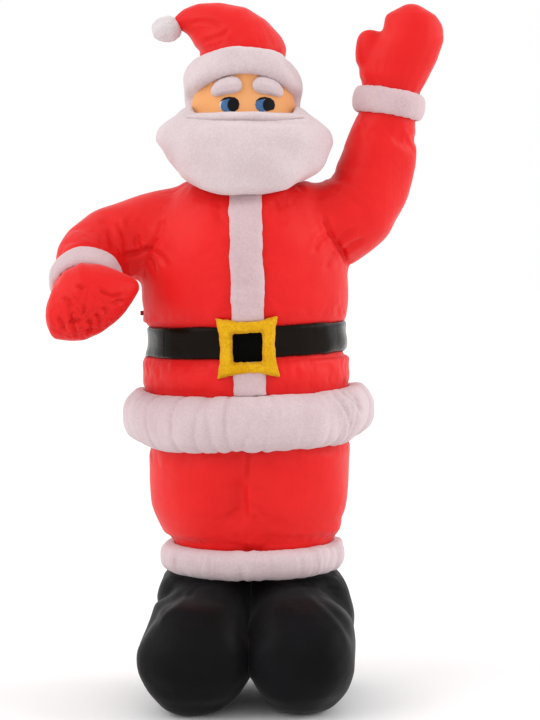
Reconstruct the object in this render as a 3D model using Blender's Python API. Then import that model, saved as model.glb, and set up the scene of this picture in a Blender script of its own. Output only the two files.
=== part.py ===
"""Inflatable garden Santa, 2.4 m tall, with one arm raised and one bent across the belly.

The figure stands on its boot soles and faces -Y. Its own right side is at -X. Every piece is
built in the figure's frame, in metres, with the body's axis near X = 0 and the floor at Z = 0.
Body sections are rows of (height, centre X, half width, half depth). A piece that seats on
another is made from the same rows, grown by the clearance, or is carved by a grown copy of it.
"""

import math

import bmesh
import bpy
from mathutils import Vector

# Clearance between neighbouring pieces
GAP = 0.0003

# Number of points round a section: a gathered roll has two for each point of the body in it
BODY_POINTS = 24
TUBE_POINTS = 18
HEM_POINTS = 2 * BODY_POINTS

# Heights of the seams, from the floor up
TROUSER_TOP = 0.965
NECK = 1.800
HAT_SEAM = 2.200

# How much the waist and the trims rise towards +X, per metre
WAIST_RISE = 0.032
ANKLE_RISE = 0.010
LEG_X = 0.030

# Rolls: how far each stands out from the body, and how tall it is
HEM_Z = 0.967
HEM_HEIGHT = 0.190
HEM_BULGE = 0.085
HEM_GATHER = 0.007
ANKLE_Z = 0.481
ANKLE_HEIGHT = 0.108
ANKLE_BULGE = 0.050
ANKLE_GATHER = 0.004
CUFF_HEIGHT = 0.098
CUFF_BULGE = 0.026
CUFF_PUFF = 0.003

# Belt, buckle and placket
BELT_Z = 1.237
BELT_HEIGHT = 0.110
BELT_THICKNESS = 0.016
WAIST_HALF_WIDTH = 0.326
WAIST_HALF_DEPTH = 0.282
BUCKLE_X = 0.0135
BUCKLE_Z = 1.221
BUCKLE_HALF_WIDTH = 0.104
BUCKLE_HALF_HEIGHT = 0.101
BUCKLE_CONCAVITY = 0.013
BUCKLE_HOLE = 0.049
BUCKLE_PROUD = 0.028
BUCKLE_CROWN = 0.018
PLACKET_WIDTH = 0.112
PLACKET_THICKNESS = 0.020
PLACKET_UNDER_BELT = 0.006

# Trousers
CREASE_DEPTH = 0.022
CREASE_WIDTH = 0.055

# Boots: the toe is a ball, the shaft an upright oval behind it
BOOT_PARTING_X = 0.021
PARTING_OVERLAP = 0.010
TOE_HALF_DEPTH = 0.245
TOE_HALF_HEIGHT = 0.198
TOE_Y = -0.275
TOE_Z = 0.191
SHAFT_HALF_DEPTH = 0.205
SHAFT_HALF_WIDTH = 0.176

# Head
FACE_HALF_WIDTH = 0.178
FACE_HALF_DEPTH = 0.190
CROWN_HALF_WIDTH = 0.150
CROWN_HALF_DEPTH = 0.162
FACE_TOP = 2.000
HAIR_Y = 0.045
BAND_BULGE = 0.048
BAND_PUFF = 0.004
BAND_LOW = 2.060
BAND_ARCH = 0.070
BAND_HIGH = 2.218
EYE_Z = 2.030
EYE_SPACING = 0.120
EYE_HALF_WIDTH = 0.034
EYE_HALF_HEIGHT = 0.027
EYE_THICKNESS = 0.005
BROW_THICKNESS = 0.056
FACE_CENTRE_X = 0.012
POMPOM_WIDTH = 0.110
POMPOM_HEIGHT = 0.096
POMPOM_PLACE = (-0.272, 0.0, 2.305)

# Arms
SLEEVE_END_RADIUS = 0.100
RAISED_CUFF = Vector((0.4975, 0.0, 2.047))
RAISED_LEAN = math.radians(9.5)
LOWERED_CUFF = Vector((-0.527, -0.205, 1.440))
LOWERED_AIM = Vector((0.02, -0.80, -0.60))
LOWERED_HAND_Y = -0.312

# Tether tab, above the belt's upper edge
TAB_RISE = 0.044
TAB_WIDTH = 0.016
TAB_THICKNESS = 0.004
TAB_REACH = 0.014

# Small inset of the lowest tip ring, so that no loft ends in a needle
TIP = 0.25


def material(name, colour, roughness, sheen=0.0):
    """A Principled BSDF with one colour."""
    made = bpy.data.materials.new(name)
    made.use_nodes = True
    shader = made.node_tree.nodes["Principled BSDF"]
    shader.inputs["Base Color"].default_value = (*colour, 1.0)
    shader.inputs["Roughness"].default_value = roughness
    shader.inputs["Metallic"].default_value = 0.0
    shader.inputs["Sheen Weight"].default_value = sheen
    made.diffuse_color = (*colour, 1.0)
    return made


def smooth_rows(keys, steps):
    """Rows on a Catmull-Rom curve through the key rows, with steps rows for each span."""
    rows = []
    for index in range(len(keys) - 1):
        before = keys[max(index - 1, 0)]
        start = keys[index]
        end = keys[index + 1]
        after = keys[min(index + 2, len(keys) - 1)]
        for step in range(steps):
            t = step / steps
            rows.append(tuple(
                0.5 * (2 * b + (c - a) * t + (2 * a - 5 * b + 4 * c - d) * t ** 2
                       + (3 * b - a - 3 * c + d) * t ** 3)
                for a, b, c, d in zip(before, start, end, after)))
    rows.append(tuple(keys[-1]))
    return rows


def row_at(rows, height):
    """The section at a height, straight between rows as the facets are."""
    for low, high in zip(rows, rows[1:]):
        if height <= high[0]:
            t = max(0.0, (height - low[0]) / (high[0] - low[0]))
            return tuple(a + (b - a) * t for a, b in zip(low, high))
    return rows[-1]


def rise(height):
    """How much a level ring of the body climbs towards +X at this height."""
    if height < 0.85:
        share = max(0.0, min(1.0, (height - 0.54) / (0.85 - 0.54)))
        return ANKLE_RISE + (WAIST_RISE - ANKLE_RISE) * share
    return WAIST_RISE * max(0.0, min(1.0, (1.60 - height) / (1.60 - 1.34)))


def oval(angle, half_width, half_depth, power=2.0):
    """A point of a superellipse."""
    x = math.cos(angle)
    y = math.sin(angle)
    return (half_width * math.copysign(abs(x) ** (2 / power), x),
            half_depth * math.copysign(abs(y) ** (2 / power), y))


def body_ring(row, grow=0.0, centre_y=0.0, crease=0.0, points=BODY_POINTS):
    """A ring of the body, level but for the rise, with an optional crease front and back."""
    height, centre_x, half_width, half_depth = row
    ring = []
    for index in range(points):
        x, y = oval(2 * math.pi * index / points, half_width + grow, half_depth + grow)
        pull = crease * math.exp(-(x / CREASE_WIDTH) ** 2)
        y -= math.copysign(pull, y)
        ring.append(Vector((centre_x + x, centre_y + y, height + rise(height) * x)))
    return ring


def tube_ring(centre, side, depth, points=TUBE_POINTS):
    """A ring round a centre, spanned by two half axes."""
    ring = []
    for index in range(points):
        x, y = oval(2 * math.pi * index / points, 1.0, 1.0)
        ring.append(centre + side * x + depth * y)
    return ring


def swept_rings(stations, first_side, points=TUBE_POINTS):
    """Rings along a path of (x, y, z, radius), with frames carried along the path."""
    centres = [Vector(station[:3]) for station in stations]
    side = Vector(first_side)
    rings = []
    for index, station in enumerate(stations):
        behind = centres[max(index - 1, 0)]
        ahead = centres[min(index + 1, len(centres) - 1)]
        tangent = (ahead - behind).normalized()
        side = (side - tangent * side.dot(tangent)).normalized()
        depth = tangent.cross(side)
        radius = station[3]
        rings.append(tube_ring(centres[index], side * radius, depth * radius, points))
    return rings


def fan_rings(rows, grow=0.0, points=TUBE_POINTS, centre_y=0.0):
    """Rings across the picture plane from rows of (x, z, x, z, half depth)."""
    rings = []
    for x_in, z_in, x_out, z_out, half_depth in rows:
        centre = Vector(((x_in + x_out) / 2, centre_y, (z_in + z_out) / 2))
        side = Vector(((x_out - x_in) / 2, 0.0, (z_out - z_in) / 2))
        side += side.normalized() * grow
        rings.append(tube_ring(centre, side, Vector((0.0, half_depth + grow, 0.0)), points))
    return rings


def new_object(name, bm, finish, figure, cutter=False):
    """Turns a bmesh into an object under the figure's empty, as a piece or as a hidden cutter.

    Faces are split the same way in both, so a twisted face and its grown copy stay apart.
    """
    bmesh.ops.triangulate(bm, faces=bm.faces, quad_method='FIXED')
    bmesh.ops.recalc_face_normals(bm, faces=bm.faces)
    mesh = bpy.data.meshes.new(name)
    bm.to_mesh(mesh)
    bm.free()
    made = bpy.data.objects.new(name, mesh)
    bpy.context.collection.objects.link(made)
    made.parent = figure
    if cutter:
        made.display_type = 'WIRE'
        made.hide_render = True
        return made
    mesh.materials.append(finish)
    mesh.shade_smooth()
    mesh.set_sharp_from_angle(angle=math.radians(50))
    return made


def loft(rings):
    """A closed skin over a row of rings, capped at both ends."""
    bm = bmesh.new()
    layers = [[bm.verts.new(point) for point in ring] for ring in rings]
    count = len(rings[0])
    for low, high in zip(layers, layers[1:]):
        for index in range(count):
            after = (index + 1) % count
            bm.faces.new((low[index], low[after], high[after], high[index]))
    bm.faces.new(list(reversed(layers[0])))
    bm.faces.new(layers[-1])
    return bm


def hoop(sections):
    """A closed skin over sections that follow each other round a ring."""
    bm = bmesh.new()
    layers = [[bm.verts.new(point) for point in section] for section in sections]
    count = len(sections[0])
    for index, here in enumerate(layers):
        ahead = layers[(index + 1) % len(layers)]
        for point in range(count):
            after = (point + 1) % count
            bm.faces.new((here[point], here[after], ahead[after], ahead[point]))
    return bm


def roll_profile(height, bulge, power, points):
    """Points of a roll's section as (out, up): a flat inner wall and a full round outside."""
    profile = []
    for index in range(points):
        angle = -math.pi / 2 + math.pi * index / (points - 1)
        out = bulge * abs(math.cos(angle)) ** (2 / power)
        up = height / 2 * math.copysign(abs(math.sin(angle)) ** (2 / power), math.sin(angle))
        profile.append((max(out, 0.0), up))
    return profile


def gathers(angle, depth, count):
    """Shallow uneven gathers round a roll."""
    return depth * (math.cos(count * angle) + 0.6 * math.cos((count + 3) * angle + 1.3)) / 1.6


def body_roll(rows, middle, height, bulge, grow, power=2.4, gather=0.0, gather_count=0,
              profile_points=8, points=BODY_POINTS):
    """A roll round the body, its inner wall on the body's own section grown by the clearance."""
    sections = []
    for index in range(points):
        angle = 2 * math.pi * index / points
        section = []
        for out, up in roll_profile(height + 2 * grow, bulge, power, profile_points):
            row = row_at(rows, middle + up)
            pleat = gathers(angle, gather, gather_count) * out / bulge
            outwards = GAP + out + pleat + (grow if out > 0.1 * bulge else -grow)
            x, y = oval(angle, row[2] + outwards, row[3] + outwards)
            section.append(Vector((row[1] + x, y, row[0] + rise(middle) * x)))
        sections.append(section)
    return hoop(sections)


def carve(piece, *cutters):
    """Cuts each cutter out of the piece."""
    for cutter in cutters:
        fit = piece.modifiers.new("fit_" + cutter.name, 'BOOLEAN')
        fit.operation = 'DIFFERENCE'
        fit.solver = 'EXACT'
        fit.object = cutter


def join(piece, *others):
    """Adds each hidden solid to the piece."""
    for other in others:
        union = piece.modifiers.new("with_" + other.name, 'BOOLEAN')
        union.operation = 'UNION'
        union.solver = 'EXACT'
        union.object = other


def box(low, high):
    """A plain box between two corners."""
    bm = bmesh.new()
    bmesh.ops.create_cube(bm, size=1.0)
    low = Vector(low)
    high = Vector(high)
    for vert in bm.verts:
        vert.co = Vector(low[axis] + (vert.co[axis] + 0.5) * (high[axis] - low[axis])
                         for axis in range(3))
    return bm


def grown_ends(rings, grow):
    """Moves the first and the last ring outwards along the loft."""
    if grow == 0.0:
        return rings
    for end, inner in ((0, 1), (-1, -2)):
        middle = sum(rings[end], Vector()) / len(rings[end])
        towards = middle - sum(rings[inner], Vector()) / len(rings[inner])
        shift = towards.normalized() * grow
        rings[end] = [point + shift for point in rings[end]]
    return rings


# The trousers and the coat, as rows of height, centre X, half width and half depth

TROUSER_ROWS = [
    (ANKLE_Z - ANKLE_HEIGHT / 2, LEG_X, 0.262, 0.232),
] + smooth_rows([
    (ANKLE_Z + ANKLE_HEIGHT / 2, LEG_X, 0.272, 0.243),
    (0.585, 0.025, 0.306, 0.268),
    (0.660, 0.020, 0.333, 0.289),
    (0.760, 0.017, 0.345, 0.300),
    (HEM_Z - HEM_HEIGHT / 2, 0.0165, 0.350, 0.305),
], 1) + [
    (TROUSER_TOP, 0.0135, 0.350, 0.305),
]

COAT_ROWS = [
    (TROUSER_TOP + GAP, 0.0135, 0.350, 0.305),
] + smooth_rows([
    (HEM_Z + HEM_HEIGHT / 2, 0.010, 0.350, 0.305),
    (1.125, 0.008, 0.356, 0.309),
    (BELT_Z - BELT_HEIGHT / 2 - 0.016, 0.006, 0.348, 0.302),
], 1) + [
    (BELT_Z - BELT_HEIGHT / 2, 0.005, WAIST_HALF_WIDTH, WAIST_HALF_DEPTH),
    (BELT_Z + BELT_HEIGHT / 2, 0.005, WAIST_HALF_WIDTH, WAIST_HALF_DEPTH),
] + smooth_rows([
    (BELT_Z + BELT_HEIGHT / 2 + 0.016, 0.004, 0.346, 0.302),
    (1.370, 0.002, 0.356, 0.311),
    (1.480, 0.000, 0.356, 0.311),
    (1.590, 0.000, 0.343, 0.298),
    (1.680, 0.000, 0.303, 0.266),
    (1.745, 0.000, 0.245, 0.220),
    (1.785, 0.000, 0.180, 0.170),
    (NECK, 0.000, 0.130, 0.130),
], 1)

SKULL_ROWS = [
    (NECK + GAP, 0.0, 0.160, 0.168),
    (1.860, 0.0, FACE_HALF_WIDTH, FACE_HALF_DEPTH),
    (FACE_TOP, 0.0, FACE_HALF_WIDTH, FACE_HALF_DEPTH),
    (HAT_SEAM, 0.0, CROWN_HALF_WIDTH, CROWN_HALF_DEPTH),
]


def trousers_skin(grow=0.0):
    """The trousers, creased front and back between the two rolls."""
    rings = []
    for row in TROUSER_ROWS:
        seated = row[0] < ANKLE_Z + ANKLE_HEIGHT / 2 or row[0] > HEM_Z - HEM_HEIGHT / 2
        rings.append(body_ring(row, grow, crease=0.0 if seated else CREASE_DEPTH))
    return loft(grown_ends(rings, grow))


def coat_skin(grow=0.0):
    """The coat, with the shallow waist that the belt lies in."""
    return loft(grown_ends([body_ring(row, grow) for row in COAT_ROWS], grow))


def hem_roll(grow=0.0):
    """The gathered roll round the coat's hem, over the seam between coat and trousers."""
    rows = TROUSER_ROWS[-2:-1] + [(TROUSER_TOP, 0.0135, 0.350, 0.305)] + COAT_ROWS[1:3]
    return body_roll(rows, HEM_Z, HEM_HEIGHT, HEM_BULGE, grow, gather=HEM_GATHER,
                     gather_count=12, profile_points=8, points=HEM_POINTS)


def ankle_roll(grow=0.0):
    """The roll round the bottom of the trousers."""
    return body_roll(TROUSER_ROWS, ANKLE_Z, ANKLE_HEIGHT, ANKLE_BULGE, grow,
                     gather=ANKLE_GATHER, gather_count=7, profile_points=6)


def belt_band(grow=0.0):
    """The belt, as tall as the waist that it lies in."""
    return body_roll(COAT_ROWS, BELT_Z, BELT_HEIGHT - 2 * GAP, BELT_THICKNESS, grow, power=6.0,
                     profile_points=6)


def coat_front(x, height):
    """Where the coat's front surface lies, as Y, at a place on the picture plane."""
    row = row_at(COAT_ROWS, height - rise(height) * x)
    share = min(0.999, abs(x - row[1]) / row[2])
    return -row[3] * math.sqrt(1 - share ** 2)


def placket_middle(height):
    """The placket drifts a little towards +X on its way down."""
    return 0.024 - 0.026 * (height - 1.0)


def placket_skin(grow=0.0):
    """The strip down the coat's front, thinner where the belt presses on it."""
    back_offset = 0.030
    low = HEM_Z + HEM_HEIGHT / 2 - 0.012
    high = NECK - 0.040
    belt_low = BELT_Z - BELT_HEIGHT / 2
    belt_high = BELT_Z + BELT_HEIGHT / 2
    heights = [low, 1.09, belt_low - 0.016, belt_low - 0.002, BELT_Z, belt_high + 0.002,
               belt_high + 0.016]
    heights += [belt_high + 0.016 + (high - belt_high - 0.016) * step / 6 for step in range(1, 7)]
    rings = []
    for height in heights:
        pressed = belt_low - 0.01 < height < belt_high + 0.01
        thickness = (PLACKET_UNDER_BELT if pressed else PLACKET_THICKNESS) + grow
        middle = placket_middle(height)
        ring = []
        for share in (-1.0, -0.72, 0.0, 0.72, 1.0):
            x = middle + share * (PLACKET_WIDTH / 2 + grow)
            crown = thickness * (1.0 if abs(share) < 1.0 else 0.35)
            ring.append(Vector((x, coat_front(x, height) - crown, height)))
        for share in (1.0, -1.0):
            x = middle + share * (PLACKET_WIDTH / 2 + grow)
            ring.append(Vector((x, coat_front(x, height) + back_offset, height)))
        rings.append(ring)
    return loft(grown_ends(rings, grow))


def buckle_frame():
    """The padded buckle: a square frame with hollow sides and pointed corners."""
    side_points = 4
    back = -(WAIST_HALF_DEPTH - 0.012)
    edge = -(COAT_ROWS[2][3] + BUCKLE_PROUD - BUCKLE_CROWN)
    front = edge - BUCKLE_CROWN
    sections = []
    tilt = math.radians(2.0)
    for corner in range(4):
        for step in range(side_points):
            along = -1 + 2 * step / side_points
            hollow = 1 - BUCKLE_CONCAVITY / BUCKLE_HALF_HEIGHT * (1 - along ** 2)
            outer = Vector((along, -hollow))
            inner = Vector((along, -1.0)) * (BUCKLE_HOLE / BUCKLE_HALF_WIDTH)
            section = []
            for share, y in ((0.0, back), (0.0, edge), (0.25, front), (0.75, front), (1.0, edge),
                             (1.0, back)):
                flat = outer.lerp(inner, share)
                for _ in range(corner):
                    flat = Vector((-flat.y, flat.x))
                x = flat.x * BUCKLE_HALF_WIDTH
                z = flat.y * BUCKLE_HALF_HEIGHT
                curve = 0.9 * (x / WAIST_HALF_WIDTH) ** 2 * WAIST_HALF_DEPTH / 2
                section.append(Vector((BUCKLE_X + x * math.cos(tilt) - z * math.sin(tilt), y + curve,
                                       BUCKLE_Z + z * math.cos(tilt) + x * math.sin(tilt))))
            sections.append(section)
    return hoop(sections)


def toe_ball(middle_x, half_width):
    """A boot's round toe."""
    layers = 8
    rings = []
    for layer in range(layers):
        angle = -math.pi / 2 + math.pi * (layer + 0.5) / layers
        size = math.cos(angle) ** 0.92
        z = TOE_Z + TOE_HALF_HEIGHT * math.sin(angle) / math.sin(math.pi / 2 * (1 - 1 / layers))
        ring = []
        for index in range(20):
            x, y = oval(2 * math.pi * index / 20, half_width * size, TOE_HALF_DEPTH * size, 2.4)
            ring.append(Vector((middle_x + x, TOE_Y + y, z)))
        rings.append(ring)
    return loft(rings)


def boot_shaft(middle_x, side):
    """A boot's heel and shaft, up to the trousers' bottom, which rises towards +X.

    Its inner side stands upright against the other boot, above a heel that is rounded on both
    sides. Rows are height, share of the full width and depth, and how far the inner side is in.
    """
    top = ANKLE_Z - ANKLE_HEIGHT / 2 - GAP
    rows = ((-0.01, 0.78, 0.115), (0.02, 0.88, 0.095), (0.06, 0.95, 0.048), (0.11, 0.99, 0.012),
            (0.16, 1.0, 0.0), (0.30, 0.98, 0.0), (top, 0.89, 0.0))
    rings = []
    for z, share, inset in rows:
        inner = BOOT_PARTING_X + side * (inset - PARTING_OVERLAP)
        outer = middle_x + side * SHAFT_HALF_WIDTH * (2 * share - 1)
        centre_x = (inner + outer) / 2
        ring = []
        for index in range(16):
            x, y = oval(2 * math.pi * index / 16, abs(outer - inner) / 2,
                        SHAFT_HALF_DEPTH * share, 3.0)
            climb = ANKLE_RISE * (centre_x + x - LEG_X) * z / top
            ring.append(Vector((centre_x + x, y, z + climb)))
        rings.append(ring)
    return loft(rings)


def head_block(grow=0.0):
    """The face block, tapering into the hat."""
    rows = SKULL_ROWS[:-1] + [(HAT_SEAM, 0.0, CROWN_HALF_WIDTH, CROWN_HALF_DEPTH)]
    return loft(grown_ends([body_ring(row, grow) for row in rows], grow))


HAIR_ROWS = smooth_rows([
    (1.795, 0.0, 0.150, 0.130),
    (1.840, 0.0, 0.196, 0.166),
    (1.920, 0.0, 0.203, 0.178),
    (2.015, 0.0, 0.199, 0.176),
    (BAND_LOW - GAP, 0.0, 0.190, 0.168),
], 1)


def hair_block(grow=0.0):
    """The hair round the back and the sides of the head."""
    rings = [body_ring(row, grow, centre_y=HAIR_Y) for row in HAIR_ROWS]
    return loft(grown_ends(rings, grow))


def hat_band_roll(grow=0.0):
    """The roll round the head, arched up over the face."""
    sections = []
    points = BODY_POINTS
    taper = [(FACE_TOP, 0.0, FACE_HALF_WIDTH, FACE_HALF_DEPTH),
             (HAT_SEAM, 0.0, CROWN_HALF_WIDTH, CROWN_HALF_DEPTH)]
    slope_width = (CROWN_HALF_WIDTH - FACE_HALF_WIDTH) / (HAT_SEAM - FACE_TOP)
    slope_depth = (CROWN_HALF_DEPTH - FACE_HALF_DEPTH) / (HAT_SEAM - FACE_TOP)
    for index in range(points):
        angle = 2 * math.pi * index / points
        front = max(0.0, -math.sin(angle)) ** 1.6
        low = BAND_LOW + BAND_ARCH * front - grow
        high = BAND_HIGH + 0.012 * front + grow
        middle = (low + high) / 2
        section = []
        for out, up in roll_profile(high - low, BAND_BULGE, 2.3, 7):
            z = middle + up
            half_width = taper[0][2] + slope_width * (z - FACE_TOP)
            half_depth = taper[0][3] + slope_depth * (z - FACE_TOP)
            puff = BAND_PUFF * math.cos(8 * angle + 0.6) * out / BAND_BULGE
            outwards = GAP + out + puff + (grow if out > 0.1 * BAND_BULGE else -grow)
            x, y = oval(angle, half_width + outwards, half_depth + outwards)
            section.append(Vector((x, y, z)))
        sections.append(section)
    return hoop(sections)


HAT_ROWS = [
    (-CROWN_HALF_WIDTH, HAT_SEAM + GAP, CROWN_HALF_WIDTH, HAT_SEAM + GAP, CROWN_HALF_DEPTH),
] + smooth_rows([
    (-0.1455, 2.2320, 0.1455, 2.2320, 0.1575),
    (-0.1600, 2.2480, 0.1240, 2.2740, 0.142),
    (-0.1670, 2.2610, 0.0760, 2.3370, 0.120),
    (-0.1770, 2.2740, 0.0080, 2.3830, 0.097),
    (-0.1900, 2.2870, -0.0800, 2.4000, 0.074),
    (-0.2050, 2.2960, -0.1560, 2.3960, 0.055),
    (-0.2150, 2.3000, -0.2050, 2.3780, 0.042),
    (-0.2250, 2.3060, -0.2400, 2.3500, 0.026),
], 1)


def hat_skin(grow=0.0):
    """The hat, bent over towards -X as a fan of sections."""
    return loft(grown_ends(fan_rings(HAT_ROWS, grow, points=BODY_POINTS), grow))


def pompom_ball():
    """A lumpy plush ball."""
    bm = bmesh.new()
    bmesh.ops.create_icosphere(bm, subdivisions=3, radius=0.5)
    for vert in bm.verts:
        bumps = math.sin(13 * vert.co.x + 1) * math.sin(12 * vert.co.y + 2) * math.sin(14 * vert.co.z)
        vert.co *= 1 + 0.06 * bumps
        vert.co = Vector((vert.co.x * POMPOM_WIDTH, vert.co.y * POMPOM_WIDTH,
                          vert.co.z * POMPOM_HEIGHT)) + Vector(POMPOM_PLACE)
    return bm


# The beard, as rows of height, centre Y, half width and half depth

BEARD_ROWS = smooth_rows([
    (1.727, -0.245, 0.060, 0.040),
    (1.745, -0.222, 0.150, 0.085),
    (1.785, -0.180, 0.210, 0.138),
    (1.845, -0.135, 0.262, 0.188),
    (1.915, -0.105, 0.302, 0.212),
    (1.950, -0.095, 0.290, 0.205),
    (1.978, -0.085, 0.262, 0.172),
    (2.002, -0.068, 0.230, 0.124),
    (2.035, -0.050, 0.192, 0.085),
], 1)


def beard_puff(grow=0.0):
    """The beard, a fat shield that reaches round both sides of the head."""
    rings = []
    for height, centre_y, half_width, half_depth in BEARD_ROWS:
        ring = []
        for index in range(28):
            x, y = oval(2 * math.pi * index / 28, half_width + grow, half_depth + grow, 2.1)
            ring.append(Vector((x, centre_y + y, height)))
        rings.append(ring)
    return loft(grown_ends(rings, grow))


def moustache_roll(grow=0.0):
    """The moustache, a flat roll that follows the face round."""
    half_span = 0.200
    rings = []
    steps = 10
    for step in range(steps + 1):
        share = -1 + 2 * step / steps
        angle = share * math.radians(52)
        middle = Vector((half_span * math.sin(angle) / math.sin(math.radians(52)) + 0.004,
                         0.030 - 0.265 * math.cos(angle), 1.990 - 0.010 * share ** 2))
        size = max(TIP, (1 - abs(share) ** 3.0) ** 0.5)
        out = Vector((math.sin(angle), -math.cos(angle), 0.0))
        rings.append(tube_ring(middle, out * (0.040 * size + grow),
                               Vector((0.0, 0.0, 0.021 * size + grow)), 10))
    return loft(grown_ends(rings, grow))


def brow_puff(side, grow=0.0):
    """An eyebrow, its outer end lower than its inner end."""
    rings = []
    steps = 8
    for step in range(steps + 1):
        share = (1 - math.cos(math.pi * step / steps)) / 2
        across = FACE_CENTRE_X + side * (0.020 + 0.100 * share)
        height = 2.094 + 0.004 * math.sin(math.pi * share) - 0.018 * share ** 2
        depth = -FACE_HALF_DEPTH * math.sqrt(1 - (across / FACE_HALF_WIDTH) ** 2) * 0.965
        end = abs(2 * share - 1)
        size = BROW_THICKNESS / 2 * max(TIP, (1 - end ** 4) ** 0.5) * (1.0 - 0.08 * share) + grow
        rings.append(tube_ring(Vector((across, depth, height)), Vector((0.0, size * 0.9, 0.0)),
                               Vector((0.0, 0.0, size)), 8))
    return loft(rings)


def eye_patch(side):
    """An eye, a thin oval patch that follows the face."""
    across = FACE_CENTRE_X + side * EYE_SPACING / 2
    rings = []
    for depth_share in (0.0, 0.8, 1.0):
        ring = []
        inset = 1.0 if depth_share < 1.0 else 0.94
        for index in range(12):
            x, z = oval(2 * math.pi * index / 12, EYE_HALF_WIDTH * inset, EYE_HALF_HEIGHT * inset, 2.3)
            skull = row_at(SKULL_ROWS, EYE_Z + z)
            surface = -skull[3] * math.sqrt(1 - ((across + x) / skull[2]) ** 2)
            back = surface + 0.012
            ring.append(Vector((across + x, back - (0.012 + EYE_THICKNESS) * depth_share, EYE_Z + z)))
        rings.append(ring)
    return loft(rings)


# The raised arm, as rows across the picture plane, and the lowered arm, as a path with radii

raised_axis = Vector((math.sin(RAISED_LEAN), 0.0, math.cos(RAISED_LEAN)))
raised_side = Vector((math.cos(RAISED_LEAN), 0.0, -math.sin(RAISED_LEAN)))
lowered_axis = LOWERED_AIM.normalized()


def raised_row(along):
    """A round section of the raised wrist, at a distance along the arm from the cuff's middle."""
    middle = RAISED_CUFF + raised_axis * along
    inner = middle - raised_side * SLEEVE_END_RADIUS
    outer = middle + raised_side * SLEEVE_END_RADIUS
    return (inner.x, inner.z, outer.x, outer.z, SLEEVE_END_RADIUS)


def lowered_station(along, radius=SLEEVE_END_RADIUS):
    """A place on the lowered wrist's axis, with a radius."""
    place = LOWERED_CUFF + lowered_axis * along
    return (place.x, place.y, place.z, radius)


def raised_sleeve(grow=0.0):
    """The raised sleeve, from inside the coat to the middle of the cuff."""
    rows = smooth_rows([
        (0.130, 1.690, 0.160, 1.500, 0.150),
        (0.255, 1.762, 0.300, 1.487, 0.166),
        (0.298, 1.808, 0.405, 1.524, 0.156),
        (0.318, 1.850, 0.490, 1.600, 0.143),
        (0.338, 1.895, 0.553, 1.705, 0.130),
        (0.360, 1.945, 0.585, 1.830, 0.117),
        raised_row(-CUFF_HEIGHT / 2 - 0.004),
    ], 1) + [raised_row(-GAP / 2)]
    return loft(grown_ends(fan_rings(rows, grow), grow))


def lowered_rings(grow):
    """The lowered sleeve's rings, out sideways and then forwards and down from the elbow."""
    stations = smooth_rows([
        (-0.120, 0.000, 1.622, 0.152),
        (-0.250, 0.000, 1.608, 0.149),
        (-0.370, -0.002, 1.583, 0.138),
        (-0.465, -0.022, 1.555, 0.131),
        (-0.516, -0.070, 1.522, 0.125),
        (-0.530, -0.120, 1.497, 0.113),
        lowered_station(-CUFF_HEIGHT / 2 - 0.010),
    ], 1) + [lowered_station(-CUFF_HEIGHT / 2), lowered_station(-GAP / 2)]
    stations = [(*station[:3], station[3] + grow) for station in stations]
    return swept_rings(stations, (0.0, 1.0, 0.0))


def lowered_sleeve(grow=0.0):
    """The lowered sleeve."""
    return loft(grown_ends(lowered_rings(grow), grow))


def lowered_wrist_side():
    """The direction in which the lowered sleeve's sections start, for the cuff and the hand."""
    last = lowered_rings(0.0)[-1]
    return (last[0] - sum(last, Vector()) / len(last)).normalized()


def cuff_roll(middle, axis, side, grow=0.0):
    """A cuff: a roll round the wrist."""
    depth = axis.cross(side)
    sections = []
    for index in range(TUBE_POINTS):
        angle = 2 * math.pi * index / TUBE_POINTS
        direction = side * math.cos(angle) + depth * math.sin(angle)
        section = []
        for out, up in roll_profile(CUFF_HEIGHT + 2 * grow, CUFF_BULGE, 2.3, 6):
            puff = CUFF_PUFF * math.cos(6 * angle) * out / CUFF_BULGE
            radius = SLEEVE_END_RADIUS + GAP + out + puff
            radius += grow if out > 0.1 * CUFF_BULGE else -grow
            section.append(middle + direction * radius + axis * up)
        sections.append(section)
    return hoop(sections)


def raised_palm():
    """The raised mitten's palm and fingers."""
    rows = [raised_row(GAP / 2), raised_row(CUFF_HEIGHT / 2)] + smooth_rows([
        (0.400, 2.145, 0.632, 2.130, 0.108),
        (0.412, 2.205, 0.664, 2.195, 0.106),
        (0.440, 2.262, 0.683, 2.262, 0.098),
        (0.474, 2.312, 0.681, 2.312, 0.087),
        (0.500, 2.346, 0.660, 2.346, 0.070),
        (0.530, 2.372, 0.618, 2.372, 0.045),
        (0.553, 2.386, 0.592, 2.386, 0.020),
    ], 1)
    return loft(fan_rings(rows))


def raised_thumb():
    """The raised mitten's thumb."""
    rows = smooth_rows([
        (0.420, 2.140, 0.540, 2.150, 0.060),
        (0.392, 2.190, 0.520, 2.205, 0.062),
        (0.384, 2.235, 0.490, 2.250, 0.056),
        (0.388, 2.272, 0.474, 2.282, 0.046),
        (0.404, 2.294, 0.456, 2.300, 0.028),
    ], 1)
    return loft(fan_rings(rows, points=12))


def lowered_wrist(wrist_side):
    """The lowered mitten's wrist, from the middle of the cuff into the hand."""
    stations = [
        lowered_station(GAP / 2),
        lowered_station(CUFF_HEIGHT / 2),
        lowered_station(CUFF_HEIGHT / 2 + 0.020, SLEEVE_END_RADIUS + 0.014),
        lowered_station(CUFF_HEIGHT / 2 + 0.060, SLEEVE_END_RADIUS),
    ]
    return loft(swept_rings(stations, wrist_side))


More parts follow.
